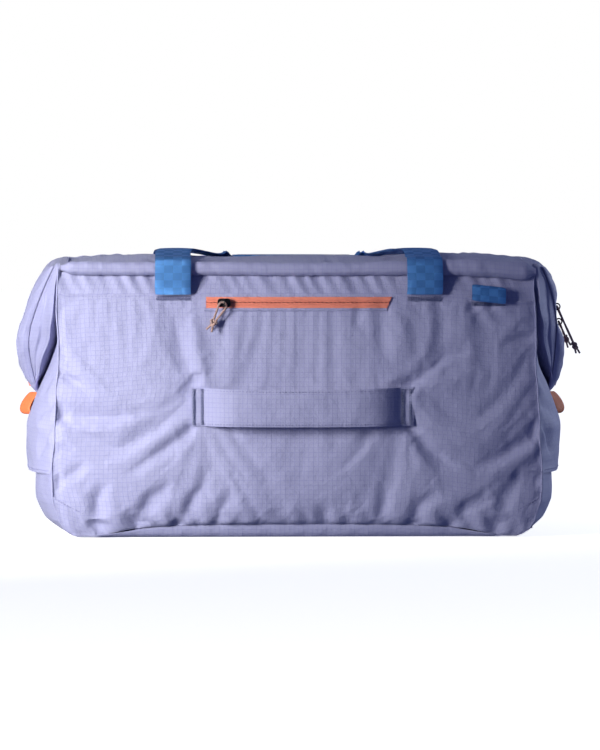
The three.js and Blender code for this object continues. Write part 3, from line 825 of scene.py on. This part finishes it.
END_PEAK, END_SPLIT = 104, 70
END_FOLDS = [
    ([(-138, 150), (-100, 132), (-50, 122)], -4.5, 12, 7),
    ([(-138, 112), (-104, 118), (-70, 134)], 3.0, 8, 12),
    ([(-136, 190), (-112, 166), (-86, 148)], -3.5, 9, 8),
    ([(138, 142), (96, 128), (52, 124)], -4.0, 8, 12),
    ([(134, 186), (104, 160), (80, 150)], -3.5, 9, 8),
    ([(-139, 128), (-122, 108), (-104, 84)], -5.5, 9, 5),
    ([(-139, 176), (-126, 150), (-118, 120)], -4.0, 8, 6),
    ([(139, 120), (120, 104), (100, 86)], -5.0, 5, 9),
    ([(-60, 76), (-40, 98), (-10, 112)], -2.2, 9, 9),
    ([(70, 74), (52, 92), (20, 104)], -2.4, 9, 9),
]


def end_seam(side, y, z):
    """Half the bag's length at its back seam, running over to that at its front seam."""
    share = step(-HALF_D, HALF_D, y)
    return seam_x(side, z, -1) * (1 - share) + seam_x(side, z, 1) * share


def end_out(side, y, z):
    """Half the bag's length over its end panels."""
    reach = where(z > END_PEAK, 120, 118)
    angle = pi / 2 * clip(abs(z - END_PEAK) / reach, 0, 1)
    across = 1 - clip(abs(y) / (HALF_D - 1), 0, 1) ** 2.6
    out = end_seam(side, y, z) + (33 - 3 * exp(-((y / 22) ** 2) - ((z - 142) / 16) ** 2)) * cos(angle) ** 1.6 * across
    for line in END_FOLDS:
        out = out + fold(y, z, *line, 1)
    out = out + puckers(z, HALF_D - abs(y), 19, 1.5, 12, 81)
    out = out + 1.2 * ripple(y, z, 40, 83) + 0.3 * ripple(y, z, 15, 84)
    hold = step(0, 8, HALF_D - 1 - abs(y))
    return end_seam(side, y, z) + (out - end_seam(side, y, z)) * hold


for end, sx in ENDS:

    def upper(u, v):
        y = (2 * u - 1) * (HALF_D - 1)
        z = END_SPLIT - 2 + (288 - END_SPLIT + 2) * v
        return sx * (end_out(sx, y, z) + 1.2 * (1 - step(0, 0.05, v))), y, z

    sewn(skin(f"{end}_end_upper_cloth", upper, 130, 110, flip=sx < 0), f"{end}_end_upper")

    def lower(u, v):
        y = (2 * u - 1) * (HALF_D - 1)
        z = PANEL_LOW + (END_SPLIT - PANEL_LOW) * v
        share = (END_SPLIT - z) / (END_SPLIT - PANEL_LOW)
        across = 1 - (abs(y) / (HALF_D - 1)) ** 3
        x = end_seam(sx, y, z) + (19 + 5 * share) * (1 - share**5) * across
        x = x + (0.9 * ripple(y, z, 30, 91) + puckers(y, END_SPLIT - z, 23, 0.9, 10, 93)) * across
        return sx * x, y, z

    sewn(skin(f"{end}_end_lower_cloth", lower, 120, 36, flip=sx < 0), f"{end}_end_lower")
    line = linspace(-132, 132, 140)
    points = np.stack([sx * (end_out(sx, line, 71.5 + 0 * line) + 1.0), line, 71.5 + 0 * line], 1)
    sewn(stitches(f"{end}_hem_stitches", points, (sx, 0, 0)))

# ---- base


def base(u, v):
    x, y = 2 * u - 1, 2 * v - 1
    px = x * 236
    edge = HALF_D - 0.6 - foot(px)
    py = sin(y * pi / 2) * edge * (1 - 0.02 * step(0.9, 1, abs(x)))
    turn = clip((abs(py) - edge + 8) / 8, 0, 1)
    rise = (low_edge(px) + 0.6) * (1 - sqrt(1 - 0.995 * turn**2))
    rise = rise + 5 * (1 - sqrt(1 - 0.9 * step(0.9, 1.0, abs(x))))
    wave = 0.5 * (1 + ripple(px, py, 36, 101)) * step(0.2, 0.9, 1 - maximum(abs(x), abs(y)))
    tucks = puckers(px, 1 - turn, 26, 1.1, 0.5, 103) * turn * (1 - step(0.85, 1, turn))
    return px, py, 0.15 + rise + wave + maximum(tucks, -0.1)


sewn(skin("base_cloth", base, 150, 120, flip=True, thickness=1.2), "base_panel")

# ---- top rolls

for name, side in ROWS:

    def roll(angle, v):
        x = (2 * v - 1) * 254
        ends = 1 - step(0.95, 1.0, abs(2 * v - 1)) * 0.6
        crease = puckers(x + 5 * sin(angle), 0 * x, 15, 0.3, 1, 111 + side) + puckers(x, 0 * x, 47, 0.5, 1, 113)
        full = 7.3 + 2.4 * step(60, 210, -side * x)
        radius = full * ends + crease * ends
        sag = 0.9 * ripple(x, 0 * x, 90, 115)
        low = 280 - 5.5 * step(170, 256, -side * x)
        crest = 0.6 * ripple(x, angle, 70, 117) + 0.5 * exp(-(((angle % (2 * pi)) - 3.6) / 0.16) ** 2)
        y = side * (HALF_D + 1.2 - (0.86 * radius + crest) * cos(angle))
        z = low + full + sag + radius * sin(angle)
        return x, y, z

    sewn(tube(f"{name}_roll_cloth", roll, 28, 240, CLOTH), f"{name}_top_roll")

# ---- top: two halves that part at the zip

HINGE_Y, HINGE_Z = 138, 291
GORE_X = 120
ZIP_HALF = 8


def top_z(x, y):
    """Height of the closed top."""
    a = abs(y)
    crest = 11 * sin(pi * clip((HINGE_Y - a) / (1.45 * HINGE_Y), 0, 1)) ** 0.8
    lobes = 4.0 * bell(abs(x), 150, 50) * bell(a, 84, 40)
    droop = 4.5 * step(190, 262, abs(x)) - 3.4 * step(140, 205, abs(x)) * bell(a, 0, 20)
    gathers = puckers(x, HINGE_Y - a, 22, 1.2, 22, 121) + puckers(x + 11, a - ZIP_HALF, 16, 0.7, 12, 123)
    return HINGE_Z - 1 + crest + lobes - droop + gathers + 1.4 * ripple(x, y, 52, 125) + 0.4 * ripple(x, y, 19, 127)


def zip_paint(x, y, z):
    """Cloth, tape or coil by the distance from the zip's middle."""
    return where(abs(y) < 3.2, 2, where(abs(y) < ZIP_HALF, 1, 0))


def top_height(x, y):
    """The top with the zip set into it: tape a little lower than the cloth's folded edge, coil proud of the tape."""
    a = abs(y)
    level = top_z(x, sign(y) * maximum(a, ZIP_HALF + 1)) + 0.8 * (1 - step(ZIP_HALF + 0.8, ZIP_HALF + 6, a))
    return level - 1.6 * (1 - step(ZIP_HALF - 0.4, ZIP_HALF + 0.4, a)) + 1.0 * (1 - step(2.6, 3.4, a))


ZIP_STOPS = np.array([0.5, 1.4, 2.4, 3.0, 3.5, 5.5, 7.5, 8.0, 8.5, 9.6, 12])
ACROSS = np.concatenate([ZIP_STOPS, linspace(16, HINGE_Y + 0.5, 46)])


def across_top(v):
    """Distances from the zip at even steps of v, close together over the zip."""
    return interp(v, linspace(0, 1, len(ACROSS)), ACROSS)


TOP_MATERIALS = [CLOTH, CORAL, CORAL_COIL, LINING]
for row, side in ROWS:

    def half(low, high):
        def point(u, v):
            x, y = low + (high - low) * u, side * across_top(v)
            return x, y, top_height(x, y)

        return point

    flap = f"{row}_flap"
    rows = len(ACROSS) - 1
    middle = skin(f"{row}_top_cloth", half(-GORE_X, GORE_X), 130, rows, TOP_MATERIALS, 1.6, side < 0, zip_paint)
    cross(middle, BAG, flap, (0, side * HINGE_Y, HINGE_Z), (0, side * (HINGE_Y - 36), HINGE_Z), "ripstop")
    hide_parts(f"{flap}_panel", f"{flap}_zip")
    for end, sx in ENDS:
        low, high = (GORE_X, 253) if sx > 0 else (-253, -GORE_X)
        gore = skin(f"{row}_{end}_gore_cloth", half(low, high), 80, rows, TOP_MATERIALS, 1.6, side < 0, zip_paint)
        run, depth = 258 - GORE_X, HINGE_Y
        long = math.hypot(run, depth)
        reach = 36 * run / long
        start = np.array([sx * GORE_X, side * HINGE_Y, HINGE_Z])
        inward = np.array([-sx * depth, -side * run, 0]) / long
        cross(gore, BAG, flap, start, start + inward * reach, "ripstop")
        if side < 0:
            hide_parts(f"{end}_top_yoke", f"{end}_yoke_zip")

# ---- wings

WING_Z = [296, 293, 288, 281, 272, 262, 252, 240, 226, 210, 194, 180, 168, 158, 151]
WING_OUT = [257, 264, 270, 276, 281.5, 286, 289, 291.5, 294, 296, 296.5, 295.5, 292.5, 288, 282]
WING_ZIP = [256.5, 262.5, 267, 272, 276.8, 281, 282.6, 284, 285.8, 287.8, 289.6, 291, 291, 287.5, 281]
WING_RIM = [256, 259, 262, 265.5, 269.5, 273.5, 277, 280, 282.5, 283.5, 283.5, 283, 282, 280.5, 279]
WING_HALF = [138, 137.5, 135, 130, 123, 115.5, 107, 96.5, 84.5, 71, 58, 47, 37.5, 29.5, 24]


def wing_at(table, z, heights=WING_Z):
    """A measure at height z, from a table that runs down the wing."""
    return interp(-np.asarray(z, float), [-c for c in heights], table)


def wing_edge(sx, z):
    """The rolled edge stands out further on the left, fuller, wing."""
    return wing_at(WING_RIM, z) + (6.0 * bell(z, 206, 36) if sx < 0 else 0)


def wing_zip_x(sx, z):
    return wing_at(WING_ZIP, z) + (13.5 * bell(z, 212, 24) if sx < 0 else 0)


def wing_outer(sx, y, z):
    """The wing's outer face: cloth that stands in two soft pads beside the zip and rolls in at its edges."""
    half, rim = wing_at(WING_HALF, z), wing_edge(sx, z)
    p = clip(abs(y) / half, 0, 1)
    beside = step(ZIP_HALF + 0.5, 24, abs(y)) * minimum(1, half / 40)
    pad = wing_at(WING_OUT, z) + (8.0 * bell(z, 206, 36) if sx < 0 else -10.0 * bell(z, 237, 19))
    level = wing_zip_x(sx, z) * (1 - beside) + pad * beside
    level = level + (1.2 * ripple(y, z, 34, 131) + 0.5 * ripple(y, z, 14, 133)) * beside
    level = level + puckers(z, abs(y) - 9, 15, 1.0, 15, 135) * beside
    level = level + fold(y, z, [(-70, 284), (-50, 240), (-28, 196)], -3.2, 8, 8) * beside
    level = level + fold(y, z, [(74, 284), (52, 236), (30, 200)], -3.2, 8, 8) * beside
    level = level - 1.5 * bell(p, 0.8, 0.035) * minimum(1, half / 60)
    level = level + puckers(z + 0.3 * y, (0.86 - p) * half, 19, 1.2, 12, 139) * beside
    return rim + (level - rim) * sqrt(clip(1 - p**4.5, 0, 1))


def wing_wave(z, face, sx):
    """How much the wing's sloping edge wanders."""
    return 1.6 * ripple(z, 0 * z + 7 * face, 22, 137 + sx)


GUSSET_Z = [293, 286, 270, 250, 236, 220, 200, 180, 164, 155]
GUSSET_X = [257.5, 258, 259, 260, 261.5, 265, 271, 277, 281, 281.5]
GUSSET_Y = [139, 139, 138.5, 137.5, 128, 109, 84, 60, 40, 30]

for end, sx in ENDS:
    wing = f"{end}_wing"

    def shell(angle, v):
        z = 289.5 - 138.5 * v
        half = wing_at(WING_HALF, z)
        y = half * sign(cos(angle)) * abs(cos(angle)) ** 0.66
        p = clip(abs(y) / half, 0, 1)
        out = wing_outer(sx, y, z)
        rim = wing_edge(sx, z)
        x = where(sin(angle) >= 0, out, rim - 3.0 * (1 - p**3) * step(0.02, 0.2, v))
        y = y + sign(y) * wing_wave(z, sign(y), sx) * p**4 * step(0, 0.1, v)
        return sx * x, y, z

    keep(tube(f"{end}_wing_cloth", shell, 128, 100, CLOTH), wing, "ripstop", f"{end}_wing_panel")

    # Gusset cloth from the wing's sloping edge to the bag's corner, then folded in behind itself.
    for k, face in enumerate((-1, 1)):

        def web(u, v):
            z = 293 - 138 * v
            rim_x, rim_y = wing_edge(sx, z) - 0.4, wing_at(WING_HALF, z) - 1.5 + wing_wave(z, face, sx)
            edge_x = wing_at(GUSSET_X, z, GUSSET_Z) + 1.6 * ripple(z, 0 * z, 19, 143 + sx)
            edge_y = wing_at(GUSSET_Y, z, GUSSET_Z)
            in_y = edge_y - 30 * step(0.05, 0.5, v)
            in_x = minimum(end_out(sx, face * in_y, z) - 1.5, edge_x)
            a, b = clip(u / 0.62, 0, 1), clip((u - 0.62) / 0.38, 0, 1)
            x = rim_x + (edge_x - rim_x) * a + (in_x - edge_x) * b
            y = rim_y + (edge_y - rim_y) * a + (in_y - edge_y) * b
            slack = sin(pi * a) * step(0.04, 0.3, v)
            crease = fold(a * 30, z, [(4, 284), (12, 250), (16, 215), (9, 170)], 5.5, 5, 3.2, (0.4, 0.6))
            y = y + slack * (4.0 * step(0.2, 0.6, v) + 2.2 * ripple(z, x, 17, 147 + face)) - crease * step(0.06, 0.2, v)
            x = x - slack * 1.2
            return sx * x, face * y, z

        sheet = skin(f"{end}_gusset_{k}", web, 36, 90, thickness=1.0, flip=(sx * face > 0))
        cross(sheet, BAG, wing, (sx * 260.5, 0, 230), (sx * 279, 0, 231), "ripstop")

    # Zip down the wing's middle, from the fold to the tip.
    def wing_zip(u, v):
        y = (2 * u - 1) * ZIP_HALF
        z = 288.5 - 130 * v
        x = wing_zip_x(sx, z) + 0.2 + 0.7 * (1 - step(1.6, 2.4, abs(y)))
        return sx * x, y, z

    piece = skin(f"{end}_wing_zip_band", wing_zip, 40, 110, [CORAL, CORAL_COIL, CORAL], 1.2, sx < 0,
                 lambda x, y, z: where(abs(y) < 2.0, 1, 0))
    keep(piece, wing, "zip_coral", f"{end}_wing_zip")
    for k, face in enumerate((-1, 1)):
        z = linspace(284, 160, 120)
        points = np.stack([sx * (wing_outer(sx, 0 * z + 11 * face, z) + 0.3), 0 * z + 11 * face, z], 1)
        keep(stitches(f"{end}_wing_stitches_{k}", points, (sx, 0, 0)), wing, "ripstop")

    # The shoulder that folds from the top over the hinge into the wing.
    def shoulder(u, v):
        x = interp(v, [0, 0.25, 0.45, 0.6, 0.75, 0.9, 1], [246, 255, 261, 266, 270.5, 274.5, 276.5])
        drop = interp(v, [0, 0.25, 0.45, 0.6, 0.75, 0.9, 1], [0, 0.6, 2.2, 4.6, 8.4, 13.6, 17.5])
        half = minimum(137.5, wing_at(WING_HALF, 292 - drop) + 0.4)
        y = (2 * u - 1) * half
        z = top_z(sx * 246 + 0 * y, y) + 0.8 - drop
        edge = clip(abs(y) / half, 0, 1) ** 5
        x = x - 9.5 * edge * v + 0.8 * ripple(y, v * 40, 17, 151) * v
        groove = where(abs(y) < ZIP_HALF, 1.6, 0)
        return sx * (x - groove * v), y, z - groove * (1 - v)

    piece = skin(f"{end}_shoulder_cloth", shoulder, 140, 26, TOP_MATERIALS, 1.2, sx > 0, zip_paint)
    cross(piece, BAG, wing, (sx * 250, 0, 292), (sx * 264, 0, 288), "ripstop")

# ---- tip loops

for end, sx in ENDS:
    lean = 0.35
    top = np.array([sx * 283.5, 0, 151.4])
    outline = []
    for share in linspace(0, 1, 40):
        angle = pi * (2 * share - 1)
        width = 4.6 * sin(angle) * (0.35 + 0.65 * (0.5 + 0.5 * cos(angle)) ** 0.8) * 1.25
        outline.append((width, -11.0 - 10.6 * cos(angle)))
    path = []
    for w, z in outline:
        x = sx * (w * cos(lean) - z * sin(lean))
        path.append(top + np.array([x, 0, z * cos(lean) + w * sin(lean)]))
    path = [top + (c - top) * 1.15 for c in path]
    loop = ribbon(f"{end}_tip_loop_webbing", path, (0.6 * sx, 0.8, 0), 19, 1.4, TAB, columns=8)
    keep(loop, f"{end}_loop", "tab_webbing", f"{end}_tip_loop")

# ---- handles

HANDLE_X = 134
LEG = [(134, -129.5, 299.4), (133.5, -110, 305), (131, -90, 308.2), (122, -68, 308), (104, -48, 305),
       (83, -33.5, 301.5), (74, -30.6, 300.2), (65, -30, 299.4)]
LEG_LOW = [(134, -150.0, 260), (134.5, -151.8, 265), (134.6, -153.4, 273), (134.4, -154.2, 282), (134.2, -152.6, 291.5),
           (134.1, -146.5, 298.4), (134, -137.5, 300.4), (134, -128.5, 300)]

for row, my in (("back", 1), ("front", -1)):
    flap, handle = f"{row}_flap", f"{row}_handle"
    for end, mx in ENDS:
        mirror = np.array([mx, my, 1.0])
        low = spline(LEG_LOW, 60) * mirror
        piece = ribbon(f"{row}_{end}_strap_over_roll", low, (1, 0, 0), 38, 1.7, BLUE, 10)
        node = f"{row}_{end}_handle_anchor"
        cross(piece, BAG, flap, (0, -my * 143, 288), (0, -my * 131, 296), "blue_webbing", node)
        leg = spline(LEG, 90)
        tangent = np.gradient(leg, axis=0)
        across = unit(np.stack([-tangent[:, 1], tangent[:, 0], 0 * leg[:, 0]], 1))
        share = linspace(0, 1, 90)
        tip = (1 - cos(pi * step(0.55, 0.95, share))) * 0.25
        across[:, 2] += tip * sin(pi * step(0.55, 1.0, share)) * 1.5
        widths = 38 - 18.5 * step(0.5, 0.98, share)
        piece = ribbon(f"{row}_{end}_handle_leg", leg * mirror, across * mirror, widths, 1.7, BLUE, 12, 0.5)
        keep(piece, handle, "blue_webbing", f"{row}_handle_{end}_leg")

    def grip(angle, v):
        x = -66 + 132 * v
        a = 9.8 * sign(cos(angle)) * abs(cos(angle)) ** 0.6
        b = 2.6 * sign(sin(angle)) * abs(sin(angle)) ** 0.6
        return x, -my * 30 + a, 299.6 + b + 0.3 * ripple(x, a, 20, 161)

    keep(tube(f"{row}_grip_webbing", grip, 32, 60, BLUE), handle, "blue_webbing", f"{row}_handle_grip")
    line = linspace(-62, 62, 80)
    points = np.stack([line, 0 * line - my * 30 - my * -7.6, 302.3 + 0 * line], 1)
    keep(stitches(f"{row}_grip_stitches", points, (0, 0, 1), material=TACK), handle, "blue_webbing")


def bartack(name, middle, half_x, half_z, out, side, columns):
    """A dense zigzag of thread, as short slanted stitches in rows."""
    parts = []
    for k in range(columns):
        z = middle[2] - half_z + (2 * half_z) * (k + 0.5) / columns
        line = linspace(-half_x, half_x, 40)
        points = np.stack([middle[0] + line, side * out(middle[0] + line, z + 0 * line), z + 0 * line], 1)
        parts.append(stitches(f"{name}_{k}", points, (0, side, 0), 1.5, 0.25, 0.42, TACK, slant=1.6 if k % 2 else -1.6))
    return parts


for row, side in ROWS:
    for end, mx in ENDS:
        top = pocket_line(mx * HANDLE_X)
        for piece in bartack(f"{row}_{end}_handle_tack", (mx * HANDLE_X, 0, top - 4.0), 18.5, 2.6,
                             lambda x, z, s=side: face_out(s, x, z) + 1.7, side, 3):
            keep(piece, BAG, "blue_webbing")

# ---- shoulder-strap loops

for row, sx, side in (("back", 1, -1), ("front", -1, 1)):
    x0, y0, z0 = 203, 149.7, 260
    path = []
    for share in linspace(0.0, 1.0, 36):
        angle = pi * (1.5 + 2 * share * 0.985)
        dy, dz = cos(angle), sin(angle)
        path.append((sx * x0, side * (y0 + 2.9 * sign(dy) * abs(dy) ** 0.7), z0 + 8.2 * sign(dz) * abs(dz) ** 0.8))
    piece = ribbon(f"{row}_shoulder_loop_webbing", path, (1, 0, -0.11 * sx), 36, 1.5, BLUE, 10)
    keep(piece, BAG, "blue_webbing", f"{row}_shoulder_loop")
    for piece in bartack(f"{row}_loop_tack", (sx * x0, 0, 249.5), 18, 2.0,
                         lambda x, z, s=side: face_out(s, x, z) + 1.5, side, 3):
        keep(piece, BAG, "blue_webbing")

# ---- pass-through strap

STRAP = [(-115, -154.6), (-108, -155.2), (-101, -156.8), (-92, -164.5), (-81, -171.5), (-66, -175.8),
         (-36, -177.6), (4, -178.2), (44, -177.6), (73, -175.8), (88, -171.5), (99, -164.5), (108, -156.8),
         (115, -155.2), (122, -154.6)]
line = spline([(x, y, STRAP_Z) for x, y in STRAP], 170)


def strap(u, v):
    at = u * (len(line) - 1)
    x = interp(at, np.arange(len(line)), line[:, 0])
    y = interp(at, np.arange(len(line)), line[:, 1])
    across = 2 * v - 1
    sag = 1.6 * (1 - (x / 120) ** 2)
    tight = 20.6 - 0.9 * (1 - (x / 120) ** 2)
    edge = 1.1 * clip(abs(across), 0, 1) ** 8
    return x, y + edge + 0.35 * ripple(x, across * 20, 20, 171), STRAP_Z - sag + tight * across


sewn(skin("trolley_strap_cloth", strap, 200, 24, [CLOTH, CLOTH], 2.2), "trolley_strap")
for k, share in enumerate((0.06, 0.94)):
    u = linspace(0.02, 0.98, 160)
    x, y, z = strap(u, 0 * u + share)
    sewn(stitches(f"strap_edge_stitches_{k}", np.stack([x, y - 0.2, z], 1), (0, -1, 0)))
for k, x0 in enumerate((-112.5, -103.5, 110.5, 118.5)):
    z = linspace(121, 160, 60)
    y = interp(x0, line[:, 0], line[:, 1]) - 0.7
    for j, shift in enumerate((-0.7, 0.7)):
        points = np.stack([x0 + shift + 0 * z, y + 0 * z, z], 1)
        sewn(stitches(f"strap_tack_{k}_{j}", points, (0, -1, 0), 1.4, 0.2, 0.5, TACK, slant=1.2 - 2.4 * j))

# ---- back pocket zip

ZIP_LOW, ZIP_TOP, ZIP_X, ZIP_MIDDLE = 245.4, 257.2, 99, 251.2


def pocket_zip(u, v):
    z = ZIP_LOW + (ZIP_TOP - ZIP_LOW) * v
    slant = 5.0 * (1 - v)
    x = -ZIP_X + (2 * ZIP_X - slant) * u
    level = face_out(-1, x, 0 * x + 251) + 1.9
    lift = 0.8 * exp(-(((abs(z - ZIP_MIDDLE) - 1.5) / 1.1) ** 2))
    return x, -(level + lift + (z - 251) * -0.12), z


piece = skin("pocket_zip_band", pocket_zip, 160, 44, [CORAL, CORAL_COIL, CORAL], 1.2, False,
             lambda x, y, z: where(abs(z - ZIP_MIDDLE) < 0.55, 1, 0))
keep(piece, BAG, "zip_coral", "back_zip_tape", "back_zip_teeth")
u = linspace(0.01, 0.98, 150)
x, y, z = pocket_zip(u, 0 * u)
sewn(stitches("pocket_zip_stitches", np.stack([x, y + 1.2, z - 2.2], 1), (0, -1, 0)))


def garage(u, v):
    """The lower panel's folded edge under the zip."""
    x = -ZIP_X - 2 + (2 * ZIP_X - 3) * u
    z = ZIP_LOW - 3.2 + 3.6 * v
    return x, -(face_out(-1, x, z) + 1.0 + 1.0 * sin(pi * clip(v, 0, 1)) ** 0.5), z


sewn(skin("pocket_lip", garage, 150, 8, thickness=1.0))

# ---- carried CAD pieces

for name, material in (
    ("lining", LINING),
    ("back_pocket_pouch", LINING),
    ("base_board", BOARD),
    ("left_snap_stud", BLACK),
    ("right_snap_stud", BLACK),
    ("left_snap_cap", BLACK),
    ("right_snap_cap", BLACK),
    ("upper_zip_slider", BLACK),
    ("lower_zip_slider", BLACK),
    ("back_zip_slider", BLACK),
):
    node = frame["nodes"][name]
    node.data.materials.clear()
    node.data.materials.append(material)

# ---- floor and light

# White paper that glows, brighter further from the middle, so that it runs into the white behind it. It holds the bag's
# shadow but sends no light back.
paper = Nodes("floor_paper")
paper.bump((paper.noise(4, 2), 0.0005))
paper.shader.inputs["Emission Color"].default_value = (1, 1, 1, 1)
distance = paper.add("ShaderNodeVectorMath", operation="LENGTH")
paper.link(paper.place(), distance.inputs[0])
# The paper's glow grows with distance from the middle.
far = paper.add("ShaderNodeMapRange", interpolation_type="SMOOTHSTEP")
for socket, value in (("From Min", 0.3), ("From Max", 2.2), ("To Min", 0.78), ("To Max", 1.0)):
    far.inputs[socket].default_value = value
paper.link(distance.outputs["Value"], far.inputs["Value"])
paper.link(far.outputs[0], paper.shader.inputs["Emission Strength"])
paper.finish(paper.mix(paper.noise(0.8, 2), (0.86, 0.86, 0.87), (0.9, 0.9, 0.9)), 0.9, specular=0.1)
bpy.ops.mesh.primitive_plane_add(size=60, location=(0, 0, -0.0005))
floor = bpy.context.active_object
floor.name = "floor"
floor.data.materials.append(paper.material)
floor.visible_diffuse = False
floor.visible_glossy = False


def area(name, location, target, size, power, color=(1, 1, 1), spread=180):
    light = bpy.data.lights.new(name, "AREA")
    light.shape, light.size, light.size_y, light.energy, light.color = "RECTANGLE", size[0], size[1], power, color
    light.spread = math.radians(spread)
    obj = bpy.data.objects.new(name, light)
    scene.collection.objects.link(obj)
    obj.location = location
    aim(obj, target)
    return obj


area("key", (-1.0, -0.95, 0.4), (-0.33, -0.14, 0.13), (0.36, 0.5), 3.05, (1.0, 0.985, 0.95), 51)
area("top", (-0.5, 0.3, 1.7), (-0.1, 0, 0.2), (1.0, 0.8), 1.3, (0.9, 0.95, 1.0))
area("rim", (1.35, 0.5, 0.55), (0.25, 0, 0.15), (0.8, 0.8), 8, (0.8, 0.88, 1.0))

world = bpy.data.worlds.new("studio")
scene.world = world
world.use_nodes = True
tree = world.node_tree
background = tree.nodes["Background"]
background.inputs[0].default_value = (0.36, 0.46, 1.0, 1)
background.inputs[1].default_value = 0.165
seen = tree.nodes.new("ShaderNodeBackground")
seen.inputs[0].default_value = (1, 1, 1, 1)
seen.inputs[1].default_value = 1.0
path_node = tree.nodes.new("ShaderNodeLightPath")
mixer = tree.nodes.new("ShaderNodeMixShader")
tree.links.new(path_node.outputs["Is Camera Ray"], mixer.inputs[0])
tree.links.new(background.outputs[0], mixer.inputs[1])
tree.links.new(seen.outputs[0], mixer.inputs[2])
tree.links.new(mixer.outputs[0], tree.nodes["World Output"].inputs[0])
